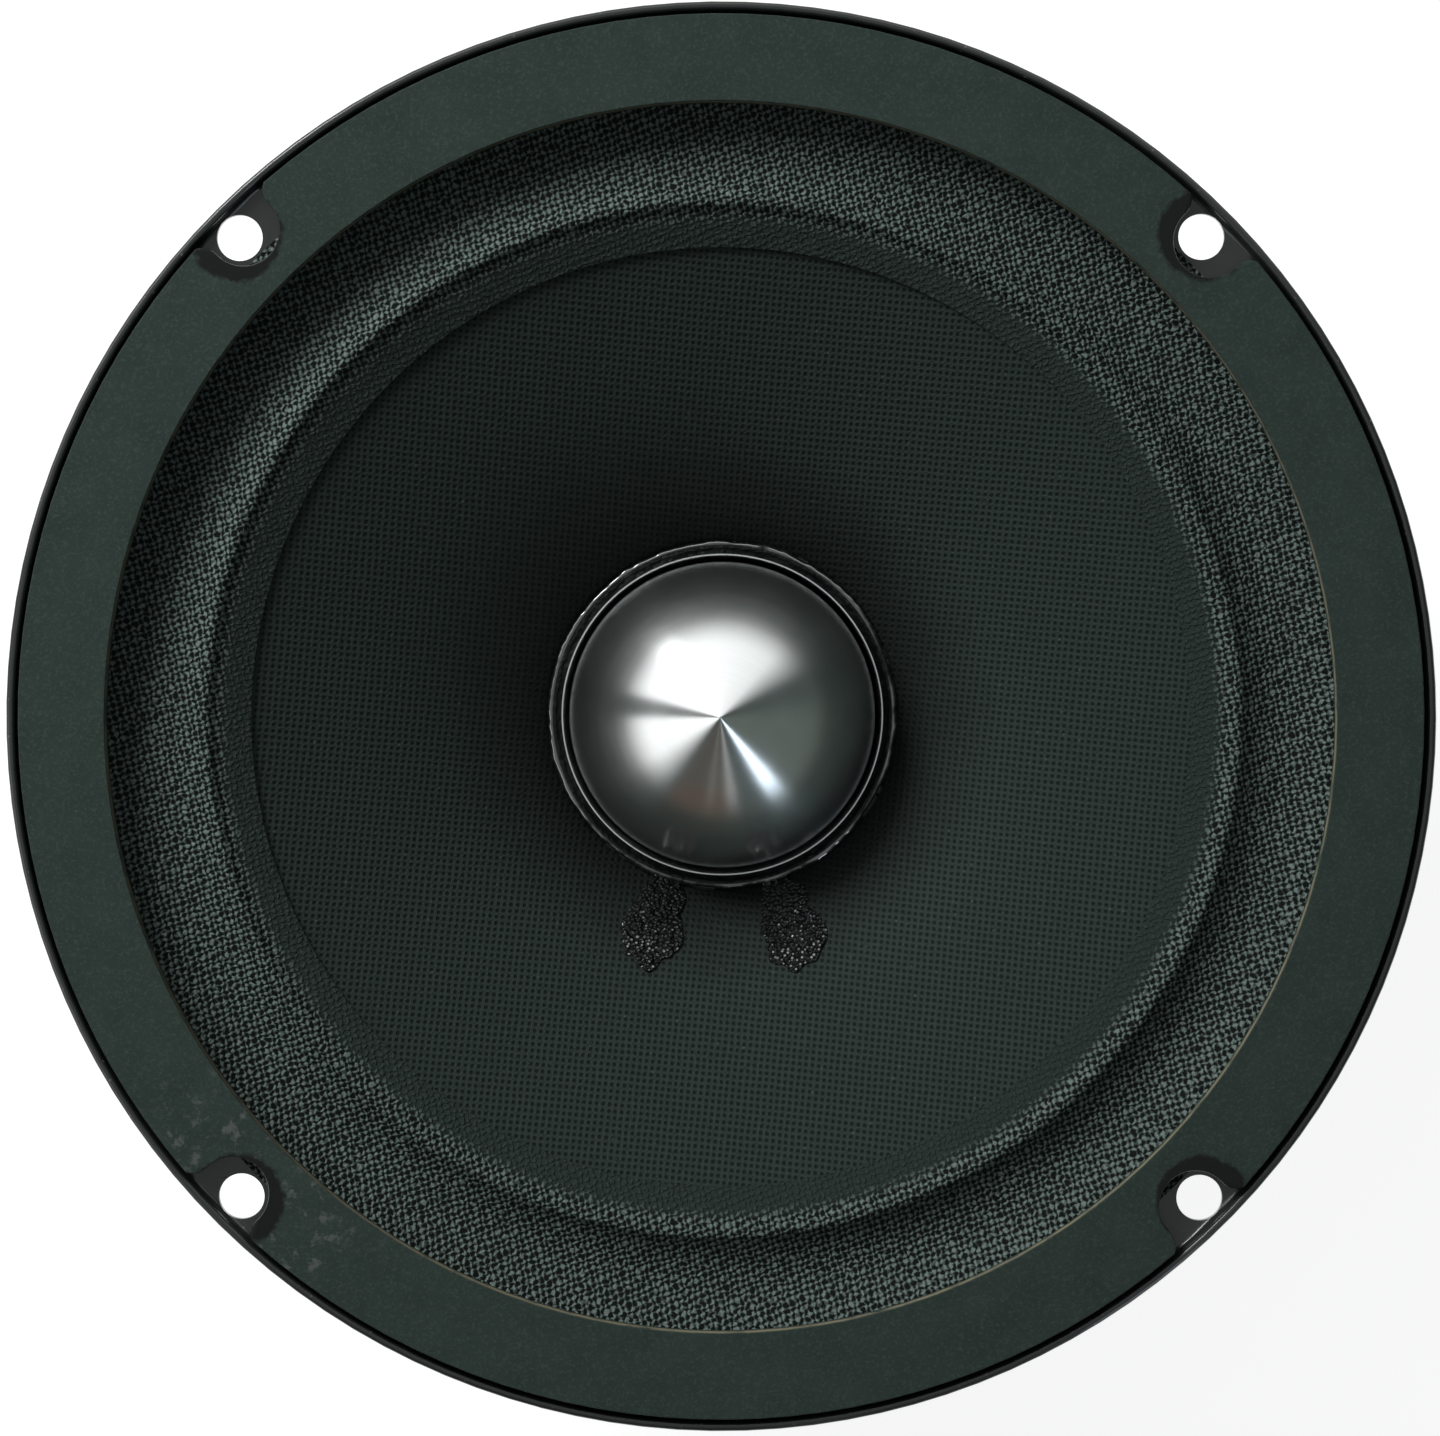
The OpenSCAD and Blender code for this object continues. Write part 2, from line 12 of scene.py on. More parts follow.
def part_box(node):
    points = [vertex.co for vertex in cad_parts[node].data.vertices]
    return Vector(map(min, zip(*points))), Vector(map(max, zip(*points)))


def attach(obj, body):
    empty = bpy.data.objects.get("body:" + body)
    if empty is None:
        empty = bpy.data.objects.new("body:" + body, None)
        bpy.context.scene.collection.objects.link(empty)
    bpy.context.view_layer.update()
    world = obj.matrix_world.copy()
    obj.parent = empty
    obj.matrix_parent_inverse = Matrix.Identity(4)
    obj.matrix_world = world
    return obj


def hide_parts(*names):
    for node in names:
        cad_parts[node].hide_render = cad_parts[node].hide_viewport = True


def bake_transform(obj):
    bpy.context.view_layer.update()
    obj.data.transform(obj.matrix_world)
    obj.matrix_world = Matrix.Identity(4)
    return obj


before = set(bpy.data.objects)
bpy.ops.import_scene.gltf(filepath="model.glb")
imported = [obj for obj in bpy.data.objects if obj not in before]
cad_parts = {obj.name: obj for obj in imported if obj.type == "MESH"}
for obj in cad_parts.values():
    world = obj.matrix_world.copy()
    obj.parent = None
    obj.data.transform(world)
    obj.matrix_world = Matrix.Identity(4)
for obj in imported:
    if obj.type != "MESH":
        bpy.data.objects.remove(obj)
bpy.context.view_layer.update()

log = logging.getLogger("driver")
MM = 0.001
TAU = 2 * math.pi
Colour = tuple[float, float, float]
Point = tuple[float, float]


class Body(Enum):
    """The rigid bodies that pieces ride on."""

    CHASSIS = "chassis"
    CONE = "cone_assembly"


class Op(Enum):
    """The operations of a Math node that the finishes use."""

    ADD = "ADD"
    SUBTRACT = "SUBTRACT"
    MULTIPLY = "MULTIPLY"
    DIVIDE = "DIVIDE"
    POWER = "POWER"
    SINE = "SINE"
    COSINE = "COSINE"
    ABSOLUTE = "ABSOLUTE"
    SQRT = "SQRT"


# --- Shader boards ---


class Sock:
    """An output socket that takes part in arithmetic. Each operator adds one Math node."""

    def __init__(self, board: "Board", socket: bpy.types.NodeSocket) -> None:
        """Wraps a socket of a board."""
        self.board = board
        self.socket = socket

    def _math(self, op: Op, *values: "Value", clamp: bool = False) -> "Sock":
        """Adds a Math node.

        Args:
            op: What the node does.
            values: Its inputs in order.
            clamp: Whether the result is kept between 0 and 1.

        Returns:
            The node's output.
        """
        settings = {"operation": op.value, "use_clamp": clamp}
        return self.board.node("ShaderNodeMath", settings, dict(enumerate(values)))

    def __add__(self, other: "Value") -> "Sock":
        """self + other."""
        return self._math(Op.ADD, self, other)

    def __radd__(self, other: "Value") -> "Sock":
        """other + self."""
        return self._math(Op.ADD, other, self)

    def __sub__(self, other: "Value") -> "Sock":
        """self - other."""
        return self._math(Op.SUBTRACT, self, other)

    def __rsub__(self, other: "Value") -> "Sock":
        """other - self."""
        return self._math(Op.SUBTRACT, other, self)

    def __mul__(self, other: "Value") -> "Sock":
        """self * other."""
        return self._math(Op.MULTIPLY, self, other)

    def __rmul__(self, other: "Value") -> "Sock":
        """other * self."""
        return self._math(Op.MULTIPLY, other, self)

    def __truediv__(self, other: "Value") -> "Sock":
        """self / other."""
        return self._math(Op.DIVIDE, self, other)

    def __rtruediv__(self, other: "Value") -> "Sock":
        """other / self."""
        return self._math(Op.DIVIDE, other, self)

    def __pow__(self, other: "Value") -> "Sock":
        """self ** other."""
        return self._math(Op.POWER, self, other)

    def sin(self) -> "Sock":
        """Sine, in radians."""
        return self._math(Op.SINE, self)

    def cos(self) -> "Sock":
        """Cosine, in radians."""
        return self._math(Op.COSINE, self)

    def abs(self) -> "Sock":
        """Size without sign."""
        return self._math(Op.ABSOLUTE, self)

    def root(self) -> "Sock":
        """Square root."""
        return self._math(Op.SQRT, self)

    def clamp(self) -> "Sock":
        """Kept between 0 and 1."""
        return self._math(Op.ADD, self, 0.0, clamp=True)

    def above(self, edge: float, soft: float) -> "Sock":
        """0 below an edge and 1 above it.

        Args:
            edge: Where the step is.
            soft: How wide it is.

        Returns:
            The step.
        """
        return ((self - (edge - soft / 2)) * (1 / soft)).clamp()

    def below(self, edge: float, soft: float) -> "Sock":
        """1 below an edge and 0 above it."""
        return 1.0 - self.above(edge, soft)


Value = Union[Sock, float, Sequence[float]]


class Board:
    """A node tree with the few kinds of node that the finishes share."""

    def __init__(self, tree: bpy.types.NodeTree) -> None:
        """Takes an empty tree."""
        self.tree = tree

    def put(self, target: bpy.types.NodeSocket, value: Value) -> None:
        """Links or sets one input socket.

        Args:
            target: The input.
            value: An output to link, a number, or the numbers of a colour or vector.
        """
        if isinstance(value, Sock):
            self.tree.links.new(value.socket, target)
        elif isinstance(value, (int, float)):
            target.default_value = value
        else:
            wide = len(target.default_value)
            target.default_value = (*value, 1.0)[:wide]

    def node(self, kind: str, settings: Optional[dict] = None, inputs: Optional[dict] = None,
             out: Union[int, str] = 0) -> Sock:
        """Adds any node.

        Args:
            kind: The node's type.
            settings: Its properties, set first.
            inputs: Values or links, by input name or number.
            out: Name or number of the output that is wanted.

        Returns:
            That output.
        """
        made = self.tree.nodes.new(kind)
        for key, value in (settings or {}).items():
            setattr(made, key, value)
        for key, value in (inputs or {}).items():
            self.put(made.inputs[key], value)
        return Sock(self, made.outputs[out])

    def place(self) -> Sock:
        """The point's place in the row frame, in millimetres."""
        metres = self.node("ShaderNodeTexCoord", out="Object")
        return self.node("ShaderNodeVectorMath", {"operation": "SCALE"}, {0: metres, "Scale": 1000.0})

    def parts(self, vector: Sock) -> tuple[Sock, Sock, Sock]:
        """Splits a vector.

        Args:
            vector: The vector.

        Returns:
            Its X, Y and Z.
        """
        split = self.tree.nodes.new("ShaderNodeSeparateXYZ")
        self.put(split.inputs[0], vector)
        return tuple(Sock(self, o) for o in split.outputs)

    def radius(self, where: Sock) -> Sock:
        """Distance from the driver's axis."""
        x, y, _ = self.parts(where)
        return (x * x + y * y).root()

    def vector(self, x: Value, y: Value, z: Value) -> Sock:
        """A vector from three numbers."""
        return self.node("ShaderNodeCombineXYZ", None, {0: x, 1: y, 2: z})

    def noise(self, where: Sock, size: float, detail: float = 3.0, rough: float = 0.55) -> Sock:
        """Noise from 0 to 1.

        Args:
            where: The place, in millimetres.
            size: How far apart its lumps are, in millimetres.
            detail: Number of finer layers.
            rough: How strong those are.

        Returns:
            The noise value.
        """
        return self.node("ShaderNodeTexNoise", {"noise_dimensions": "3D"},
                         {"Vector": where, "Scale": 1.0 / size, "Detail": detail, "Roughness": rough})

    def specks(self, where: Sock, size: float, share: float) -> Sock:
        """Scattered round specks, 1 in a speck and 0 outside.

        Args:
            where: The place, in millimetres.
            size: Spacing of the cells that may hold one.
            share: Radius of a speck as a share of its cell.

        Returns:
            The mask.
        """
        far = self.node("ShaderNodeTexVoronoi", {"feature": "F1"}, {"Vector": where, "Scale": 1.0 / size})
        return far.below(share, share * 0.5)

    def mix(self, share: Value, first: Value, second: Value, how: str = "MIX") -> Sock:
        """Mixes two colours, the second by its share."""
        return self.node("ShaderNodeMix", {"data_type": "RGBA", "blend_type": how},
                         {0: share, 6: first, 7: second}, out=2)

    def bump(self, height: Sock, deep: float, strength: float, under: Optional[Sock] = None) -> Sock:
        """Tilts the normal by a height.

        Args:
            height: The height, from 0 to 1.
            deep: What a height of 1 stands for, in millimetres.
            strength: Share of the effect.
            under: A normal that is already tilted.

        Returns:
            The new normal.
        """
        inputs = {"Height": height, "Distance": deep * MM, "Strength": strength}
        if under is not None:
            inputs["Normal"] = under
        return self.node("ShaderNodeBump", None, inputs)


# --- Finishes ---


@dataclass(frozen=True)
class Finish:
    """A finish: fixed shader values, and a method that lays what varies over the surface."""

    name: str = "plain"
    metallic: float = 0.0
    specular: float = 0.5
    coat: float = 0.0
    coat_roughness: float = 0.1
    coat_ior: float = 1.5
    sheen: float = 0.0
    anisotropy: float = 0.0
    rotation: float = 0.0

    def lay(self, board: Board, at: Sock) -> dict[str, Value]:
        """What varies over the surface.

        Args:
            board: Where the nodes go.
            at: The place, in millimetres.

        Returns:
            Values or links by shader input.
        """
        return {"Base Color": (0.5, 0.5, 0.5), "Roughness": 0.5}

    def material(self) -> bpy.types.Material:
        """Makes the material, or finds it if it is there already.

        Returns:
            The material.
        """
        made = bpy.data.materials.get(self.name + "_finish")
        if made is not None:
            return made
        made = bpy.data.materials.new(self.name + "_finish")
        made.use_nodes = True
        board = Board(made.node_tree)
        fixed = {
            "Metallic": self.metallic,
            "Specular IOR Level": self.specular,
            "Coat Weight": self.coat,
            "Coat Roughness": self.coat_roughness,
            "Coat IOR": self.coat_ior,
            "Sheen Weight": self.sheen,
            "Anisotropic": self.anisotropy,
            "Anisotropic Rotation": self.rotation,
        }
        shader = made.node_tree.nodes["Principled BSDF"]
        for name, value in {**fixed, **self.lay(board, board.place())}.items():
            board.put(shader.inputs[name], value)
        return made


@dataclass(frozen=True)
class Paint(Finish):
    """Gloss black paint on pressed steel, with a little orange peel and dust."""

    name: str = "gloss_black_paint"
    coat: float = 0.6
    coat_roughness: float = 0.08
    base: Colour = (0.011, 0.0125, 0.012)
    dust: float = 0.5

    def lay(self, board: Board, at: Sock) -> dict[str, Value]:
        """Dust in patches, orange peel and small chips.

        Args:
            board: Where the nodes go.
            at: The place, in millimetres.

        Returns:
            Values or links by shader input.
        """
        patches = board.noise(at, 14.0, 4.0)
        dust = board.specks(at, 1.3, 0.11) * patches.above(0.5, 0.2) * self.dust
        peel = board.noise(at, 0.9, 2.0)
        return {
            "Base Color": board.mix(dust, self.base, (0.16, 0.17, 0.165)),
            "Roughness": 0.24 + 0.16 * patches + 0.3 * dust,
            "Normal": board.bump(peel, 0.03, 0.5),
        }


@dataclass(frozen=True)
class GasketFibre(Finish):
    """Dark fibre board: mottled face, pale cut inner edge, paint smeared round the bolt holes."""

    name: str = "gasket_fibre"
    specular: float = 0.12
    inner_r: float = 70.9
    top_z: float = 4.0
    bolt_ring: float = 78.5

    def lay(self, board: Board, at: Sock) -> dict[str, Value]:
        """Fibres, mottling, scuffs, the cut edge and the smears.

        Args:
            board: Where the nodes go.
            at: The place, in millimetres.

        Returns:
            Values or links by shader input.
        """
        x, y, z = board.parts(at)
        mottle = board.noise(at, 5.0, 5.0, 0.65)
        grain = board.noise(at, 0.35, 2.0, 0.7)
        side = self.bolt_ring / math.sqrt(2)
        hole = ((x.abs() - side) ** 2.0 + (y.abs() - side) ** 2.0).root()
        ragged = hole + 1.6 * (board.noise(at, 1.4, 3.0) - 0.5)
        smear = ragged.below(5.3, 0.5)
        scuff = (hole.below(15.0, 8.0) * board.noise(at, 2.2, 5.0, 0.7).above(0.6, 0.08)
                 * (x + y).below(-40.0, 50.0))
        cut = z.below(self.top_z - 0.2, 0.3) * z.above(2.4, 0.5) * board.noise(at, 2.5, 3.0).above(0.38, 0.25)
        cut = cut * board.radius(at).below(self.inner_r + 0.2, 0.12)
        face = board.mix(mottle.above(0.5, 0.7), (0.0175, 0.0275, 0.024), (0.0275, 0.0405, 0.036))
        face = board.mix(grain.above(0.6, 0.2) * 0.5, face, (0.05, 0.068, 0.062))
        face = board.mix(scuff * 0.6, face, (0.095, 0.105, 0.1))
        face = board.mix(cut, face, (0.17, 0.155, 0.105))
        return {
            "Base Color": board.mix(smear, face, (0.009, 0.01, 0.0095)),
            "Roughness": 0.66 + 0.16 * grain - 0.4 * smear,
            "Normal": board.bump(grain * 0.6 + mottle * 0.8, 0.09, 0.7),
        }


class Pattern(Enum):
    """How a cloth's threads show."""

    CREPE = "raised crowns of twisted thread with dark gaps between them"
    DOTS = "a filled, even face with a dark dot at each gap"


@dataclass(frozen=True)
class Weave(Finish):
    """A woven face: crossing threads with dark holes between them, pulled about a little."""

    name: str = "weave"
    specular: float = 0.12
    pattern: Pattern = Pattern.CREPE
    pitch: float = 0.47
    turn: float = 0.5
    pull: float = 0.55
    pull_size: float = 0.85
    thread: Colour = (0.124, 0.162, 0.148)
    gap: Colour = (0.003, 0.0042, 0.0038)
    rough: float = 0.6
    deep: float = 0.3
    lint: float = 0.25
    patchy: float = 0.5

    def shade(self, board: Board, at: Sock, colour: Sock) -> Sock:
        """Room for a finish to darken or lighten the cloth in places."""
        return colour

    def height(self, board: Board, at: Sock) -> Sock:
        """The height of the weave.

        Args:
            board: Where the nodes go.
            at: The place, in millimetres.

        Returns:
            The height, from 0 in the gaps to 1 on the crowns.
        """
        drift = board.node("ShaderNodeTexNoise", {"noise_dimensions": "3D"},
                           {"Vector": at, "Scale": 1 / self.pull_size, "Detail": 2.0}, out="Color")
        shift = board.node("ShaderNodeVectorMath", {"operation": "MULTIPLY_ADD"},
                           {0: drift, 1: (self.pull * 2,) * 3, 2: at})
        turned = board.node("ShaderNodeMapping", None, {"Vector": shift, "Rotation": (0.0, 0.0, self.turn)})
        x, y, _ = board.parts(turned)
        beat = math.pi / self.pitch
        if self.pattern is Pattern.DOTS:
            dot = (0.5 + 0.5 * (x * 2 * beat).cos()) * (0.5 + 0.5 * (y * 2 * beat).cos())
            return 1.0 - dot.above(0.42, 0.6)
        return ((x * beat).sin() * (y * beat * 0.85).sin()).above(0.22, 0.9)

    def lay(self, board: Board, at: Sock) -> dict[str, Value]:
        """Threads over and under, thread by thread unevenness, wear and lint.

        Args:
            board: Where the nodes go.
            at: The place, in millimetres.

        Returns:
            Values or links by shader input.
        """
        height = self.height(board, at)
        fuzz = board.noise(at, 0.45, 3.0, 0.7)
        patches = board.noise(at, 6.0, 4.0)
        height = height * (0.1 + 1.8 * fuzz)
        bright = (height * (1.0 - self.patchy / 2 + self.patchy * patches)).clamp()
        colour = board.mix(bright, self.gap, self.thread)
        lint = board.specks(at, 2.1, 0.075) * self.lint
        colour = self.shade(board, at, board.mix(lint, colour, (0.25, 0.3, 0.28)))
        return {
            "Base Color": colour,
            "Roughness": self.rough + 0.25 * (0.5 - height),
            "Normal": board.bump(height, self.deep, 0.7),
        }


@dataclass(frozen=True)
class EdgeCloth(Weave):
    """The coated cloth of the edge, its weave filled and dark where it is glued to the cone."""

    name: str = "edge_cloth"
    lint: float = 0.3
    band_r: float = 57.9

    def shade(self, board: Board, at: Sock, colour: Sock) -> Sock:
        """Fills the band on the cone with dark cement.

        Args:
            board: Where the nodes go.
            at: The place, in millimetres.
            colour: The cloth's colour.

        Returns:
            The new colour.
        """
        radius = board.radius(at) + 0.8 * (board.noise(at, 2.0) - 0.5)
        filled = board.mix(board.noise(at, 0.5, 3.0, 0.7), (0.01, 0.0145, 0.013), (0.024, 0.034, 0.03))
        return board.mix(radius.below(self.band_r, 1.4) * 0.95, colour, filled)


@dataclass(frozen=True)
class ConePaper(Weave):
    """The cone's pressed weave, in fine even dots, its colour darker towards the neck."""

    name: str = "cone_paper"
    pattern: Pattern = Pattern.DOTS
    pitch: float = 0.75
    turn: float = 0.1
    pull: float = 0.12
    pull_size: float = 2.5
    thread: Colour = (0.0195, 0.028, 0.0245)
    gap: Colour = (0.006, 0.009, 0.008)
    rough: float = 0.6
    deep: float = 0.14
    lint: float = 0.08
    patchy: float = 0.3
    neck_dark_r: float = 27.0

    def shade(self, board: Board, at: Sock, colour: Sock) -> Sock:
        """Darkens the cone's colour towards its neck.

        Args:
            board: Where the nodes go.
            at: The place, in millimetres.
            colour: The cloth's colour.

        Returns:
            The new colour.
        """
        # The colour is darkened towards the neck, fading out over a wide soft edge.
        radius = board.radius(at) + 3.0 * (board.noise(at, 6.0) - 0.5)
        return board.mix(radius.below(self.neck_dark_r, 12.0) * 0.8, colour, (0.0035, 0.004, 0.004))


@dataclass(frozen=True)
class SpiderCloth(Weave):
    """Resin-stiffened amber cloth."""

    name: str = "spider_cloth"
    pattern: Pattern = Pattern.DOTS
    pitch: float = 0.8
    turn: float = 0.0
    pull: float = 0.08
    thread: Colour = (0.42, 0.25, 0.1)
    gap: Colour = (0.12, 0.055, 0.018)
    rough: float = 0.55
    deep: float = 0.15
    lint: float = 0.0


@dataclass(frozen=True)
class SpunAluminium(Finish):
    """Bare aluminium turned on a lathe: grooves run round it, so it glints along its radii."""

    name: str = "spun_aluminium"
    metallic: float = 1.0
    anisotropy: float = 0.75
    rotation: float = 0.25
    rough: float = 0.17

    def lay(self, board: Board, at: Sock) -> dict[str, Value]:
        """Fine rings, a few deeper ones, and handling marks.

        Args:
            board: Where the nodes go.
            at: The place, in millimetres.

        Returns:
            Values or links by shader input.
        """
        _, _, z = board.parts(at)
        rings = board.noise(board.vector(board.radius(at), z * 0.5, 0.0), 0.22, 2.0, 0.7)
        marks = board.noise(at, 4.0, 4.0, 0.6)
        return {
            "Base Color": board.mix(marks, (0.8, 0.82, 0.82), (0.9, 0.91, 0.91)),
            "Roughness": self.rough + 0.08 * rings + 0.04 * marks,
            "Normal": board.bump(rings, 0.004, 0.4),
        }


@dataclass(frozen=True)
class Glue(Finish):
    """Set black glue: wet-looking, and beaded where it soaked over cloth."""

    name: str = "black_glue"
    specular: float = 0.25
    coat: float = 1.0
    coat_roughness: float = 0.04
    coat_ior: float = 2.6
    grain: float = 0.7
    beads: float = 0.15
    wet_r: float = 0.0

    def lay(self, board: Board, at: Sock) -> dict[str, Value]:
        """Soft lumps, beads and a dull bloom in places.

        Args:
            board: Where the nodes go.
            at: The place, in millimetres.

        Returns:
            Values or links by shader input.
        """
        lumps = board.noise(at, 1.6, 3.0, 0.6)
        far = board.node("ShaderNodeTexVoronoi", {"feature": "SMOOTH_F1"},
                         {"Vector": at, "Scale": 1.0 / self.grain, "Smoothness": 0.3})
        bloom = board.noise(at, 5.0, 3.0).above(0.6, 0.2)
        crest = board.radius(at).above(self.wet_r, 0.2) if self.wet_r else far.below(0.28, 0.2)
        return {
            "Base Color": board.mix(bloom * 0.3, (0.0025, 0.003, 0.003), (0.014, 0.016, 0.015)),
            "Roughness": 0.25 + 0.2 * bloom,
            "Coat Weight": crest * board.noise(at, 3.5).above(0.36, 0.12),
            "Normal": board.bump(1.0 - far, self.beads, 0.9, board.bump(lumps, 0.1, 0.8)),
        }


@dataclass(frozen=True)
class Grained(Finish):
    """Two tones, and a grain that also roughens and embosses the face.

    A noise is given as its size in millimetres, its detail and its roughness. Without a noise of their own the tones
    follow the grain.
    """

    dark: Colour = (0.1, 0.1, 0.1)
    light: Colour = (0.2, 0.2, 0.2)
    grain: tuple[float, float, float] = (0.5, 3.0, 0.7)
    stretch: tuple[float, float, float] = (1.0, 1.0, 1.0)
    tones: Optional[tuple[float, float, float]] = None
    tone_share: float = 1.0
    patches: Optional[Point] = None
    rough: float = 0.4
    spread: float = 0.2
    deep: float = 0.0
    strength: float = 0.6

    def lay(self, board: Board, at: Sock) -> dict[str, Value]:
        """The tones, the grain and its relief.

        Args:
            board: Where the nodes go.
            at: The place, in millimetres.

        Returns:
            Values or links by shader input.
        """
        drawn = board.node("ShaderNodeMapping", None, {"Vector": at, "Scale": self.stretch})
        grain = board.noise(drawn, *self.grain)
        tone = board.noise(at, *self.tones) if self.tones else grain
        if self.patches:
            tone = tone.above(*self.patches) * self.tone_share
        laid = {
            "Base Color": board.mix(tone, self.dark, self.light),
            "Roughness": self.rough + self.spread * grain,
        }
        if self.deep:
            laid["Normal"] = board.bump(grain, self.deep, self.strength)
        return laid


@dataclass(frozen=True)
class Metal(Grained):
    """A metal with fine scratches and a slightly uneven tone."""

    name: str = "zinc_plate"
    metallic: float = 1.0
    light: Colour = (0.62, 0.63, 0.64)
    dark: Colour = (0.45, 0.46, 0.48)
    grain: tuple[float, float, float] = (0.25, 3.0, 0.7)
    stretch: tuple[float, float, float] = (1.0, 0.06, 0.3)
    tones: Optional[tuple[float, float, float]] = (3.0, 4.0, 0.55)
    rough: float = 0.32
    spread: float = 0.18
    deep: float = 0.02
    strength: float = 0.4


@dataclass(frozen=True)
class Ferrite(Finish):
    """Sintered ferrite, ground on its faces, with the pores and small chips of a ceramic."""

    name: str = "ferrite"
    specular: float = 0.45

    def lay(self, board: Board, at: Sock) -> dict[str, Value]:
        """Pores, chips and grinding.

        Args:
            board: Where the nodes go.
            at: The place, in millimetres.

        Returns:
            Values or links by shader input.
        """
        tone = board.noise(at, 9.0, 5.0, 0.6)
        pores = board.specks(at, 0.9, 0.16)
        chips = board.noise(at, 1.8, 3.0).above(0.66, 0.05)
        colour = board.mix(tone, (0.03, 0.031, 0.033), (0.06, 0.061, 0.064))
        return {
            "Base Color": board.mix(chips * 0.5, colour, (0.1, 0.1, 0.105)),
            "Roughness": 0.5 + 0.2 * tone,
            "Normal": board.bump(tone - pores * 0.5 - chips * 0.3, 0.12, 0.6),
        }


BEADED = Glue(name="beaded_glue", grain=0.5, beads=0.6)
ZINC = Metal()
ALUMINIUM_FOIL = Metal(name="aluminium_foil", light=(0.86, 0.87, 0.88), dark=(0.7, 0.71, 0.72), rough=0.34)
TIN = Metal(name="tinned_brass", light=(0.75, 0.74, 0.7), dark=(0.55, 0.53, 0.48), rough=0.28)
BRASS = Metal(name="yellow_brass", light=(0.78, 0.56, 0.24), dark=(0.55, 0.36, 0.13), rough=0.3)
SOLDER = Metal(name="dull_solder", light=(0.66, 0.66, 0.67), dark=(0.5, 0.5, 0.52), rough=0.36)
BRAID = Metal(name="tinned_braid", light=(0.66, 0.6, 0.5), dark=(0.42, 0.34, 0.24), rough=0.38)
PHOSPHATE = Grained(name="phosphated_steel", metallic=0.4, dark=(0.022, 0.024, 0.026), light=(0.075, 0.078, 0.082),
                    tones=(12.0, 5.0, 0.6), patches=(0.56, 0.25), tone_share=0.6, rough=0.42, deep=0.04)
LAMINATE = Grained(name="laminated_board", dark=(0.1, 0.045, 0.018), light=(0.24, 0.12, 0.055),
                   grain=(0.4, 3.0, 0.7), stretch=(0.15, 1.0, 1.0), rough=0.45, deep=0.05)
KRAFT = Grained(name="kraft_paper", dark=(0.3, 0.18, 0.08), light=(0.48, 0.32, 0.17), grain=(0.6, 4.0, 0.7),
                deep=0.03, strength=0.5)
COPPER = Grained(name="enamelled_copper", metallic=1.0, coat=0.6, dark=(0.42, 0.13, 0.05), light=(0.68, 0.28, 0.12),
                 grain=(2.0, 3.0, 0.55), rough=0.25, spread=0.15)


# --- Shapes ---


def arc(x: float, y: float, r: float, start: float, end: float, steps: int) -> list[Point]:
    """Points of an arc.

    Args:
        x: Its centre's first coordinate.
        y: Its centre's second coordinate.
        r: Its radius.
        start: First angle, in degrees.
        end: Last angle, in degrees.
        steps: Number of chords.

    Returns:
        The points, ends included.
    """
    angles = (math.radians(start + (end - start) * i / steps) for i in range(steps + 1))
    return [(x + r * math.cos(a), y + r * math.sin(a)) for a in angles]


def ease(value: float) -> float:
    """A smooth step from 0 to 1."""
    t = min(max(value, 0.0), 1.0)
    return t * t * (3 - 2 * t)


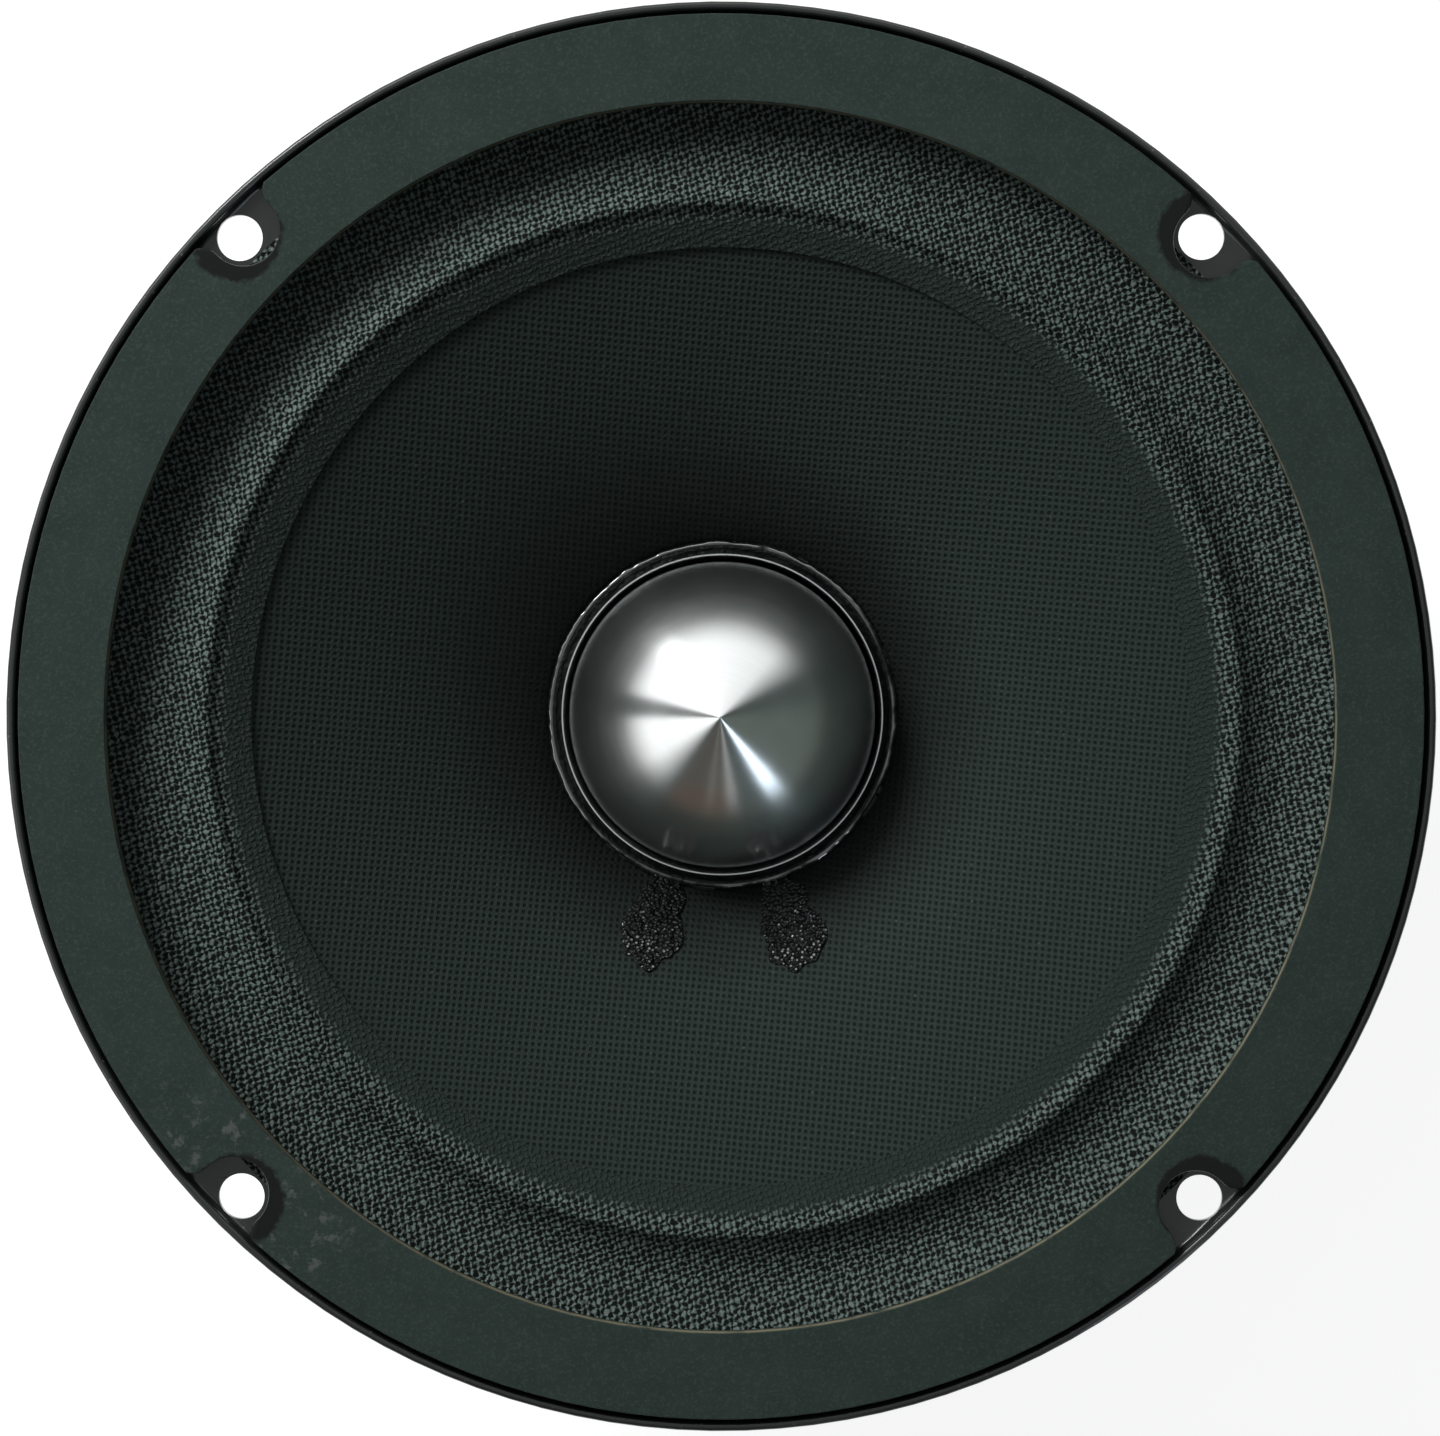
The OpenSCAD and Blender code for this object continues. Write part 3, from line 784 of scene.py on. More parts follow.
class Shape:
    """A mesh in the making, in millimetres in the row frame."""

    def __init__(self) -> None:
        """Starts with nothing."""
        self.bm = bmesh.new()

    def cad(self, node: str) -> "Shape":
        """Starts from a copy of a CAD node, merged and with its flat faces whole.

        Args:
            node: The node's name.

        Returns:
            This shape.
        """
        self.bm.from_mesh(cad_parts[node].data)
        bmesh.ops.scale(self.bm, vec=(1 / MM,) * 3, verts=self.bm.verts)
        bmesh.ops.remove_doubles(self.bm, verts=self.bm.verts, dist=0.002)
        bmesh.ops.dissolve_limit(self.bm, angle_limit=math.radians(0.6), verts=self.bm.verts,
                                 edges=self.bm.edges, use_dissolve_boundaries=False)
        return self

    def spin(self, outline: Sequence[Point], steps: int, closed: bool = True) -> "Shape":
        """Spins an outline once round the axis.

        Args:
            outline: (radius, height) pairs.
            steps: Number of faces round.
            closed: Whether the last point joins the first; False for one that starts and ends on the axis.

        Returns:
            This shape.
        """
        verts = [self.bm.verts.new((r, 0.0, z)) for r, z in outline]
        pairs = list(zip(verts, verts[1:])) + ([(verts[-1], verts[0])] if closed else [])
        edges = [self.bm.edges.new(pair) for pair in pairs]
        bmesh.ops.spin(self.bm, geom=verts + edges, cent=(0, 0, 0), axis=(0, 0, 1), dvec=(0, 0, 0),
                       angle=TAU, space=Matrix.Identity(4), steps=steps, use_merge=True,
                       use_normal_flip=False, use_duplicate=False)
        bmesh.ops.remove_doubles(self.bm, verts=self.bm.verts, dist=0.0005)
        bmesh.ops.recalc_face_normals(self.bm, faces=self.bm.faces)
        return self

    def skin(self, outline: Sequence[Point], steps: int, wall: float) -> "Shape":
        """Spins an open outline and hangs a wall under its upper side.

        Args:
            outline: (radius, height) pairs of the upper side.
            steps: Number of faces round.
            wall: How thick it is.

        Returns:
            This shape.
        """
        self.spin(outline, steps, closed=False)
        self.bm.normal_update()
        if sum(f.normal.z for f in self.bm.faces) < 0:
            bmesh.ops.reverse_faces(self.bm, faces=self.bm.faces)
        bmesh.ops.solidify(self.bm, geom=list(self.bm.faces), thickness=wall)
        return self

    def ball(self, radius: float, detail: int) -> "Shape":
        """Starts from a round ball."""
        bmesh.ops.create_icosphere(self.bm, subdivisions=detail, radius=radius)
        return self

    def soften(self, width: float, segments: int, sharper: float = 35.0,
               only: Optional[Callable[[bmesh.types.BMEdge], bool]] = None) -> "Shape":
        """Bevels the sharp edges.

        Args:
            width: The bevel's width.
            segments: Its number of faces.
            sharper: Smallest angle between faces that counts as sharp, in degrees.
            only: Test that an edge must also pass.

        Returns:
            This shape.
        """
        limit = math.radians(sharper)
        sharp = [e for e in self.bm.edges if len(e.link_faces) == 2 and e.calc_face_angle() > limit
                 and (only is None or only(e))]
        if sharp:
            bmesh.ops.bevel(self.bm, geom=sharp, offset=width, offset_type="OFFSET", affect="EDGES",
                            segments=segments, profile=0.5, material=-1, clamp_overlap=True)
        return self

    def move(self, change: Callable[[Vector], Vector]) -> "Shape":
        """Moves every point.

        Args:
            change: Gives a point's new place from its old one.

        Returns:
            This shape.
        """
        for v in self.bm.verts:
            v.co = change(v.co.copy())
        return self

    def shake(self, amount: float, size: float, seed: float,
              way: Sequence[float] = (0, 0, 1)) -> "Shape":
        """Moves points a little, to and fro, by smooth noise.

        Args:
            amount: How far, at most.
            size: How far apart its lumps are.
            seed: Picks the pattern.
            way: The direction of the move.

        Returns:
            This shape.
        """
        along = Vector(way)
        offset = Vector((seed * 17.3, seed * 5.1, seed * 9.7))
        for v in self.bm.verts:
            v.co += along * amount * noise.noise(v.co / size + offset)
        return self

    def piece(self, name: str, finish: Finish, slot: str, smooth: float = 32.0) -> bpy.types.Object:
        """Makes the object.

        Args:
            name: Its name.
            finish: Its finish.
            slot: Not used.
            smooth: Faces that meet at less than this angle look smooth, in degrees.

        Returns:
            The object, at the origin, unturned and unscaled.
        """
        limit = math.radians(smooth)
        big = [f for f in self.bm.faces if len(f.verts) > 4]
        if big:
            bmesh.ops.triangulate(self.bm, faces=big)
        bmesh.ops.scale(self.bm, vec=(MM,) * 3, verts=self.bm.verts)
        for e in self.bm.edges:
            e.smooth = len(e.link_faces) == 2 and e.calc_face_angle() < limit
        for f in self.bm.faces:
            f.smooth = True
        mesh = bpy.data.meshes.new(name)
        self.bm.to_mesh(mesh)
        self.bm.free()
        made = add_object(name, mesh)
        mesh.materials.append(finish.material())
        log.info("%s: %d faces", name, len(mesh.polygons))
        return made


def add_object(name: str, data: bpy.types.ID) -> bpy.types.Object:
    """Puts a new object in the scene.

    Args:
        name: Its name.
        data: Its mesh, light, curve or camera.

    Returns:
        The object.
    """
    made = bpy.data.objects.new(name, data)
    bpy.context.scene.collection.objects.link(made)
    return made


def even_normals(piece: bpy.types.Object) -> None:
    """Keeps large flat faces flat in shading, next to narrow bevels."""
    finish = piece.modifiers.new("even_normals", "WEIGHTED_NORMAL")
    finish.keep_sharp = True


def stand_for(piece: bpy.types.Object, body: Body, *nodes: str) -> None:
    """Lets a rigid piece ride on a body.

    Args:
        piece: The piece.
        body: The body.
        nodes: CAD nodes that it stands for, if any.
    """
    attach(piece, body.value)
    if nodes:
        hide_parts(*nodes)


def stretch(piece: bpy.types.Object, still_r: float, moving_r: float) -> None:
    """Bakes a ring of cloth's placing into its mesh and works out, by its own radius, each point's share between the
    chassis and the cone; the shares are not used further.

    Args:
        piece: The cloth.
        still_r: Radius from which it stays with the chassis, in millimetres.
        moving_r: Radius up to which it goes with the cone.
    """
    start, end = (still_r * MM, 0, 0), (moving_r * MM, 0, 0)
    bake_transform(piece)
    radii = (math.hypot(v.co.x, v.co.y) / MM for v in piece.data.vertices)
    shares = [ease((still_r - r) / (still_r - moving_r)) for r in radii]


def dress(node: str, finish: Finish, slot: str, body: Body, bevel: float = 0.0, sharper: float = 50.0,
          even: bool = False) -> None:
    """Copies a CAD node, breaks its sharp edges and finishes it.

    Args:
        node: The node.
        finish: Its finish.
        slot: Handed on to the shape, which does not use it.
        body: The body it rides on.
        bevel: Width of the broken edges, or 0 for none.
        sharper: Smallest angle that counts as sharp, in degrees.
        even: Whether its flat faces are kept flat in shading.
    """
    shape = Shape().cad(node)
    if bevel:
        shape.soften(bevel, 2, sharper=sharper)
    piece = shape.piece(node + "_finished", finish, slot)
    if even:
        even_normals(piece)
    stand_for(piece, body, node)


# --- Sizes ---


@dataclass(frozen=True)
class Plan:
    """Sizes that the sub-assemblies share, in millimetres, as the solids have them."""

    sheet: float = 1.0
    lip_top: float = 2.8
    bolt_ring: float = 78.5
    gasket_inner: float = 70.9
    cloth: float = 0.5
    valley_r: float = 65.2
    valley_deep: float = 3.45
    crest_bend: float = 0.9
    crest_angle: float = 46.0
    drop_angle: float = 50.0
    drop: float = 0.8
    foot_bend: float = 0.8
    edge_slope: float = 23.0
    band: float = 3.7
    cone_wall: float = 0.8
    flare: float = 5.0
    former_inner: float = 19.3
    former_outer: float = 19.5
    collar_r: float = 19.7
    neck_r: float = 19.9
    neck_z: float = -25.4
    former_top: float = -22.3
    former_low: float = -49.5
    winding_low: float = -48.5
    winding_tall: float = 11.0
    winding_r: float = 20.0
    bullet_r: float = 18.5
    tip_z: float = -2.0
    tip_slope: float = 25.0
    tip_share: float = 0.42
    pole_top: float = -39.0
    spider_z: float = -28.8
    spider_in: float = 21.1
    spider_out: float = 36.4
    spider_r: float = 43.5
    magnet_low: float = -61.0
    plate_low: float = -46.0
    plate_r: float = 45.0
    lead_turn: float = 18.0
    terminal_turn: float = 270.0
    eyelet_out: float = 6.0

    @property
    def rim_z(self) -> float:
        """Middle height of the glued rim of the cloth."""
        return self.sheet + self.cloth / 2

    @property
    def valley_bend(self) -> float:
        """Bend radius of the valley's middle line."""
        span = self.gasket_inner - self.valley_r
        return (span * span + self.valley_deep ** 2) / (2 * self.valley_deep)

    @property
    def valley_mid(self) -> float:
        """Height of the valley's centre of bend."""
        return self.rim_z - self.valley_deep + self.valley_bend

    @property
    def crest(self) -> Point:
        """Centre of the crest's bend."""
        a = math.radians(self.crest_angle)
        reach = self.valley_bend + self.crest_bend
        return self.valley_r - reach * math.sin(a), self.valley_mid - reach * math.cos(a)

    @property
    def foot(self) -> Point:
        """Where the cloth lands on the cone, on its middle line."""
        drop, edge = math.radians(self.drop_angle), math.radians(self.edge_slope)
        r, z = self.crest
        r -= self.crest_bend * math.sin(drop) + self.drop * math.cos(drop)
        z += self.crest_bend * math.cos(drop) - self.drop * math.sin(drop)
        return (r - self.foot_bend * (math.sin(drop) - math.sin(edge)),
                z - self.foot_bend * (math.cos(edge) - math.cos(drop)))

    def cone_top(self, r: float) -> float:
        """Height of the cone's upper face at a radius."""
        edge = math.radians(self.edge_slope)
        run = self.foot[0] - self.neck_r
        rise = self.foot[1] - self.cloth / 2 / math.cos(edge) - self.neck_z
        share = math.tan(edge) * run / rise
        s = min(max((r - self.neck_r) / run, 0.0), 1.0)
        return self.neck_z + rise * (share * s + (1 - share) * (1 - (1 - s) ** self.flare))


PLAN = Plan()


# --- Sub-assemblies ---


@dataclass
class Chassis:
    """The pressed basket, its gasket and the small hardware on it."""

    plan: Plan = PLAN
    lip_bevel: float = 0.42
    edge_bevel: float = 0.22
    paint: Finish = Paint()

    def basket(self) -> None:
        """The pressed basket, with a rolled lip."""
        shape = Shape().cad("basket")
        high = self.plan.lip_top - 0.05
        shape.soften(self.lip_bevel, 4, only=lambda e: min(v.co.z for v in e.verts) > high)
        shape.soften(self.edge_bevel, 2, sharper=50.0, only=lambda e: max(v.co.z for v in e.verts) < 1.2)
        piece = shape.piece("pressed_basket", self.paint, "basket_paint")
        even_normals(piece)
        stand_for(piece, Body.CHASSIS, "basket")

    def gasket(self) -> None:
        """The fibre gasket, softly cut and slightly uneven."""
        shape = Shape().cad("gasket").soften(0.18, 2, sharper=60.0)
        piece = shape.piece("fibre_gasket", GasketFibre(), "gasket_fibre")
        even_normals(piece)
        stand_for(piece, Body.CHASSIS, "gasket")

    def hardware(self) -> None:
        """Rivets of the basket and the terminal board with all that is on it."""
        rows: list[tuple[str, Finish, str, float]] = [
            ("basket_rivets", ZINC, "plated_steel", 0.12),
            ("terminal_board", LAMINATE, "board_fibre", 0.15),
            ("board_rivets", ZINC, "plated_steel", 0.2),
            ("terminal_positive", TIN, "tinned_brass", 0.12),
            ("terminal_negative", TIN, "tinned_brass", 0.12),
            ("terminal_rivets", BRASS, "yellow_brass", 0.15),
            ("solder_joints", SOLDER, "solder", 0.0),
        ]
        for node, finish, slot, bevel in rows:
            dress(node, finish, slot, Body.CHASSIS, bevel)

    def build(self) -> None:
        """Builds and dresses it all."""
        self.basket()
        self.gasket()
        self.hardware()


@dataclass
class Motor:
    """The magnet system and the bullet on its pole."""

    plan: Plan = PLAN
    bead: float = 0.45
    bead_steps: int = 192
    bullet_steps: int = 256
    nose: float = 0.35
    base_bevel: float = 0.4

    def plates(self) -> None:
        """Top plate, magnet and yoke, with their edges broken."""
        rows: list[tuple[str, Finish, str, float]] = [
            ("top_plate", PHOSPHATE, "plate_steel", 0.3),
            ("magnet", Ferrite(), "ferrite", 0.25),
            ("yoke", PHOSPHATE, "plate_steel", 0.3),
            ("plug_screw", ZINC, "plated_steel", 0.25),
        ]
        for node, finish, slot, bevel in rows:
            dress(node, finish, slot, Body.CHASSIS, bevel, sharper=25.0, even=True)

    def glue_lines(self) -> None:
        """The beads of glue that were squeezed out on both faces of the magnet."""
        middle = self.plan.plate_r - 0.05
        rows = (("magnet_glue_front", self.plan.plate_low, -1), ("magnet_glue_rear", self.plan.magnet_low, 1))
        for name, height, side in rows:
            outline = arc(middle, height + side * 0.05, self.bead, 0, 360, 12)[:-1]
            shape = Shape().spin(outline, self.bead_steps).shake(0.25, 2.2, 3.0 + side, (0.7, 0.7, 0.2))
            stand_for(shape.piece(name, Glue(), "black_glue"), Body.CHASSIS)

    def bullet(self) -> None:
        """The turned bullet."""
        p = self.plan
        slope = math.radians(p.tip_slope)
        tip_r = p.bullet_r * p.tip_share
        bend = (p.bullet_r - tip_r) / (1 - math.sin(slope))
        shoulder_z = p.tip_z - tip_r * math.tan(slope) - bend * math.cos(slope)
        nose, bevel = self.nose, self.base_bevel
        outline = [(0.0, p.pole_top), (p.bullet_r - bevel, p.pole_top), (p.bullet_r, p.pole_top + bevel)]
        outline += arc(p.bullet_r - bend, shoulder_z, bend, 0, 90 - p.tip_slope, 48)
        outline += [(tip_r * s, p.tip_z - tip_r * s * math.tan(slope)) for s in (0.8, 0.6, 0.4, 0.2)]
        top = p.tip_z - nose * math.tan(slope / 2) * 0.6
        outline += [(nose, p.tip_z - nose * math.tan(slope)), (nose * 0.45, top - 0.02), (0.0, top)]
        shape = Shape().spin(outline, self.bullet_steps, closed=False)
        piece = shape.piece("turned_bullet", SpunAluminium(), "bullet_aluminium")
        stand_for(piece, Body.CHASSIS, "phase_plug")

    def build(self) -> None:
        """Builds and dresses it all."""
        self.plates()
        self.glue_lines()
        self.bullet()


@dataclass(frozen=True)
class Drop:
    """A drop of glue on the cone: its way out from the eyelet, half its length and width, and its height."""

    name: str
    out: float
    long: float
    wide: float
    tall: float


@dataclass
class Diaphragm:
    """The cone, its cloth edge, and the glue at its neck and over the lead joints."""

    plan: Plan = PLAN
    round_steps: int = 288
    bead_steps: int = 360
    bead_out: float = 0.75
    bead_up: float = 1.75
    bead_bend: float = 0.72
    drops: tuple[Drop, ...] = (Drop("track", -2.0, 3.4, 2.6, 0.6), Drop("blob", 1.2, 4.0, 3.5, 0.65))

    def cone(self) -> None:
        """The flared cone."""
        p = self.plan
        run = p.foot[0] - p.neck_r
        radii = [p.neck_r + run * (i / 44) ** 1.3 for i in range(45)]
        outline = [(r, p.cone_top(r)) for r in radii]
        shape = Shape().skin(outline, self.round_steps, p.cone_wall).shake(0.12, 14.0, 1.0)
        stand_for(shape.piece("woven_cone", ConePaper(), "cone_paper", 60.0), Body.CONE, "cone")

    def edge(self) -> None:
        """The cloth edge: band on the cone, crest, valley and glued rim."""
        p = self.plan
        foot_r = p.foot[0]
        band = [foot_r - p.band * (1 - i / 8) for i in range(8)]
        lift = p.cloth / 2 / math.cos(math.radians(p.edge_slope))
        outline = [(r, p.cone_top(r) + lift) for r in band]
        drop = math.radians(p.drop_angle)
        crest_r, crest_z = p.crest
        drop_r = crest_r - p.crest_bend * math.sin(drop) - p.drop * math.cos(drop)
        drop_z = crest_z + p.crest_bend * math.cos(drop) - p.drop * math.sin(drop)
        outline += arc(drop_r - p.foot_bend * math.sin(drop), drop_z + p.foot_bend * math.cos(drop),
                       p.foot_bend, p.edge_slope - 90, p.drop_angle - 90, 6)
        outline += arc(crest_r, crest_z, p.crest_bend, 90 + p.drop_angle, 90 - p.crest_angle, 14)
        out = math.degrees(math.asin((p.gasket_inner - p.valley_r) / p.valley_bend))
        outline += arc(p.valley_r, p.valley_mid, p.valley_bend, -85 - p.crest_angle, out - 90, 34)
        outline += [(p.gasket_inner + 0.4, p.rim_z), (p.bolt_ring - 3.05, p.rim_z)]
        shape = Shape().skin(outline, self.round_steps, p.cloth)
        lift = p.cloth / 2
        inner, outer = p.gasket_inner - 1.0, p.foot[0] - p.band

        def settle(co: Vector) -> Vector:
            """Centres the wall on the middle line and pulls the cloth about between its glued rims.

            Args:
                co: A point.

            Returns:
                Its new place.
            """
            r = math.hypot(co.x, co.y)
            free = ease((inner - r) / 2) * ease((r - outer) / 2)
            co.z += lift + 0.1 * free * noise.noise(co / 5.0) + 0.05 * free * noise.noise(co / 1.6)
            return co

        shape.move(settle)
        piece = shape.piece("cloth_edge", EdgeCloth(), "edge_cloth", 60.0)
        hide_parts("surround")
        stretch(piece, p.gasket_inner, p.foot[0])

    def neck_glue(self) -> None:
        """The shiny bead round the former, laid by hand, with a rounded crest."""
        p = self.plan
        crest_r, crest_z, bend = p.neck_r + self.bead_out, p.neck_z + self.bead_up, self.bead_bend
        wet = Glue(name="wet_glue", wet_r=crest_r)
        outline = [(p.former_outer + 0.01, p.former_top - 1.45), (p.collar_r + 0.02, p.neck_z + 0.05),
                   (p.neck_r + 0.6, p.cone_top(p.neck_r + 0.6) - 0.1),
                   (p.neck_r + 1.7, p.cone_top(p.neck_r + 1.7) - 0.12)]
        outline += arc(crest_r, crest_z, bend, -10, 150, 12)
        outline += [(p.former_outer + 0.01, p.neck_z + 1.9)]
        shape = Shape().spin(outline, self.bead_steps)

        def lumps(co: Vector) -> Vector:
            """Swells the bead here and there.

            Args:
                co: A point.

            Returns:
                Its new place.
            """
            r = math.hypot(co.x, co.y)
            share = ease((r - p.neck_r) / 0.8)
            angle = math.atan2(co.y, co.x)
            swell = 0.28 * noise.noise(Vector((6 * math.cos(angle), 6 * math.sin(angle), 1.3)))
            swell += 0.12 * noise.noise(Vector((22 * math.cos(angle), 22 * math.sin(angle), 5.0)))
            out = Vector((co.x / r, co.y / r, 0.2))
            return co + out * swell * share

        shape.move(lumps)
        stand_for(shape.piece("neck_bead", wet, "black_glue", 50.0), Body.CONE, "neck_glue")

    def drop_of_glue(self, turn: float, r: float, drop: Drop, seed: float) -> Shape:
        """One flattened, lumpy drop on the cone.

        Args:
            turn: Its direction from the axis, in degrees.
            r: Its distance from the axis.
            drop: Its size.
            seed: Picks the lumps.

        Returns:
            The shape.
        """
        p = self.plan
        a = math.radians(turn)

        def drape(co: Vector) -> Vector:
            """Lays a point of the ball on the cone.

            Args:
                co: The point.

            Returns:
                Its new place.
            """
            lumpy = 1 + 0.35 * noise.noise(co * 1.9 + Vector((seed, 0, 0)))
            u = r + co.x * drop.long * lumpy
            v = co.y * drop.wide * lumpy
            rough = 0.95 + 0.4 * noise.noise(co * 2.3 + Vector((0, seed, 3)))
            h = drop.tall * rough * max(co.z, 0.0) ** 0.6 - 0.25 * max(-co.z, 0.0)
            x, y = u * math.cos(a) - v * math.sin(a), u * math.sin(a) + v * math.cos(a)
            return Vector((x, y, p.cone_top(math.hypot(x, y)) + h))

        return Shape().ball(1.0, 5).move(drape)

    def lead_glue(self) -> None:
        """The two patches over the lead joints, each a track from the neck and a blob."""
        p = self.plan
        nodes: tuple[str, ...] = ("lead_glue_patches",)
        for index, (side, hand) in enumerate(((-1, "left"), (1, "right"))):
            turn = p.terminal_turn + side * p.lead_turn
            for drop in self.drops:
                r = p.neck_r + p.eyelet_out + drop.out
                shape = self.drop_of_glue(turn, r, drop, 3.1 * index + len(drop.name))
                piece = shape.piece(f"lead_glue_{drop.name}_{hand}", BEADED, "black_glue", 70.0)
                stand_for(piece, Body.CONE, *nodes)
                nodes = ()

    def build(self) -> None:
        """Builds and dresses it all."""
        self.cone()
        self.edge()
        self.neck_glue()
        self.lead_glue()


@dataclass
class Coil:
    """The voice coil on its former, and the spider that centres it."""

    plan: Plan = PLAN
    wire: float = 0.42
    rolls: int = 5
    roll_tall: float = 1.1
    spider_wall: float = 0.4
    spider_steps: int = 224
    roll_points: int = 14
    former_steps: int = 256
    collar_steps: int = 192
    winding_steps: int = 160

    def former(self) -> None:
        """The foil former, with a rolled rim."""
        p = self.plan
        rim = 0.03
        inner, outer, top = p.former_inner, p.former_outer, p.former_top
        outline = [(inner, p.former_low), (outer, p.former_low), (outer, top - rim),
                   (outer - rim, top), (inner + rim, top), (inner, top - rim)]
        piece = Shape().spin(outline, self.former_steps).piece(
            "foil_former", ALUMINIUM_FOIL, "former_aluminium", 25.0)
        stand_for(piece, Body.CONE, "voice_coil_former")

    def collar(self) -> None:
        """The paper collar over the former."""
        p = self.plan
        low, high = p.winding_low + p.winding_tall + 0.3, p.neck_z + 1.6
        outline = [(p.former_outer, low), (p.collar_r, low), (p.collar_r, high), (p.former_outer, high)]
        piece = Shape().spin(outline, self.collar_steps).piece("paper_collar", KRAFT, "collar_paper")
        stand_for(piece, Body.CONE, "coil_collar")

    def winding(self) -> None:
        """The winding, turn by turn."""
        p = self.plan
        turns = int(p.winding_tall / self.wire)
        step = p.winding_tall / turns
        outline: list[Point] = [(p.former_outer, p.winding_low)]
        for i in range(turns):
            outline += arc(p.winding_r - step / 2, p.winding_low + step * (i + 0.5), step / 2, -80, 80, 5)
        outline.append((p.former_outer, p.winding_low + p.winding_tall))
        piece = Shape().spin(outline, self.winding_steps).piece("wound_coil", COPPER, "coil_copper", 60.0)
        stand_for(piece, Body.CONE, "coil_winding")

    def spider(self) -> None:
        """The corrugated spider."""
        p = self.plan
        steps = self.rolls * self.roll_points
        outline = [(p.neck_r + 0.05, p.spider_z), (p.spider_in - 0.3, p.spider_z)]
        for i in range(steps + 1):
            s = i / steps
            wave = math.sin(TAU * self.rolls * s) * (0.75 + 0.25 * s)
            r = p.spider_in + (p.spider_out - p.spider_in) * s
            outline.append((r, p.spider_z + self.roll_tall * wave))
        outline += [(p.spider_out + 0.3, p.spider_z), (p.spider_r, p.spider_z)]
        shape = Shape().skin(outline, self.spider_steps, self.spider_wall)
        bmesh.ops.translate(shape.bm, vec=(0, 0, self.spider_wall / 2), verts=shape.bm.verts)
        piece = shape.piece("corrugated_spider", SpiderCloth(), "spider_cloth", 60.0)
        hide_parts("spider")
        stretch(piece, p.spider_out, p.spider_in)

    def small(self) -> None:
        """Lead-outs, spider glue and eyelets."""
        dress("coil_leadouts", COPPER, "coil_copper", Body.CONE)
        dress("spider_glue", Glue(), "black_glue", Body.CONE)
        dress("lead_eyelets", BRASS, "yellow_brass", Body.CONE)

    def build(self) -> None:
        """Builds and dresses it all."""
        self.former()
        self.collar()
        self.winding()
        self.spider()
        self.small()


@dataclass
class Leads:
    """The two braided leads, from their eyelets to the solder on the board."""

    plan: Plan = PLAN
    strands: int = 6
    pitch: float = 3.2
    lay_r: float = 0.42
    strand_r: float = 0.27
    points: int = 150
    eyelet_flange: float = 0.36
    drop: float = 5.5
    wall_foot: Point = (72.0, -11.0)
    landing_rim: Point = (45.5, -29.5)
    board_share: float = 0.42
    solder_depth: float = -0.5
    solder_side: float = 11.0
    rise_back: float = 15.0
    rise_off: float = 3.4

    def route(self, side: int) -> list[Vector]:
        """The lead's middle line, by the rule the solids follow.

        Args:
            side: 1 for the positive lead, -1 for the negative one.

        Returns:
            Its points, in millimetres.
        """
        p = self.plan
        turn = math.radians(p.lead_turn)
        r = p.neck_r + p.eyelet_out
        tilt = math.atan(p.cone_top(r + 0.5) - p.cone_top(r - 0.5))
        down = Vector((math.sin(tilt), -math.cos(tilt)))
        start = Vector((r, p.cone_top(r))) + down * (p.cone_wall + self.eyelet_flange)
        bend = start + down * self.drop
        wall, landing = Vector(self.wall_foot), Vector(self.landing_rim)
        along = (wall - landing).normalized()
        run = wall.x - landing.x
        inwards = Vector((along.y, -along.x))
        board = wall - Vector((run, run * along.y / along.x)) * self.board_share
        end = board + inwards * self.solder_depth
        rise = end - along * self.rise_back - inwards * self.rise_off
        ways = [Vector((q.x * math.cos(turn), side * q.x * math.sin(turn), q.y)) for q in (start, bend)]
        ways += [Vector((q.x, side * self.solder_side, q.y)) for q in (rise, end)]
        spin = Matrix.Rotation(math.radians(p.terminal_turn), 4, "Z")
        made = []
        for i in range(self.points + 1):
            t = i / self.points
            u = 1 - t
            shares = (u ** 3, 3 * u * u * t, 3 * u * t * t, t ** 3)
            made.append(spin @ sum((q * share for q, share in zip(ways, shares)), Vector((0, 0, 0))))
        return made

    def lead(self, name: str, side: int, node: str) -> None:
        """One lead, laid up from strands.

        Args:
            name: The piece's name.
            side: 1 for the positive lead, -1 for the negative one.
            node: The CAD node that it stands for.
        """
        path = self.route(side)
        curve = bpy.data.curves.new(name + "_strands", "CURVE")
        curve.dimensions = "3D"
        curve.bevel_depth = self.strand_r * MM
        curve.bevel_resolution = 1
        curve.use_fill_caps = True
        travelled = 0.0
        rows: list[tuple[Vector, Vector, Vector, float]] = []
        for i, point in enumerate(path):
            ahead = (path[min(i + 1, len(path) - 1)] - path[max(i - 1, 0)]).normalized()
            across = ahead.cross(Vector((1, 0, 0))).normalized()
            rows.append((point, across, ahead.cross(across), travelled))
            if i + 1 < len(path):
                travelled += (path[i + 1] - point).length
        for k in range(self.strands):
            spline = curve.splines.new("POLY")
            spline.points.add(len(rows) - 1)
            for target, (point, across, other, far) in zip(spline.points, rows):
                a = TAU * (far / self.pitch + k / self.strands)
                place = (point + (across * math.cos(a) + other * math.sin(a)) * self.lay_r) * MM
                target.co = (*place, 1.0)
        holder = add_object(name + "_strands", curve)
        mesh = bpy.data.meshes.new_from_object(holder.evaluated_get(bpy.context.evaluated_depsgraph_get()))
        bpy.data.objects.remove(holder)
        piece = add_object(name, mesh)
        for polygon in mesh.polygons:
            polygon.use_smooth = True
        mesh.materials.clear()
        mesh.materials.append(BRAID.material())
        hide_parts(node)
        path[6] * MM
        path[-6] * MM
        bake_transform(piece)
        log.info("%s: %d faces, %.1f mm long", name, len(mesh.polygons), travelled)

    def build(self) -> None:
        """Builds both leads."""
        self.lead("braided_lead_positive", 1, "tinsel_lead_positive")
        self.lead("braided_lead_negative", -1, "tinsel_lead_negative")


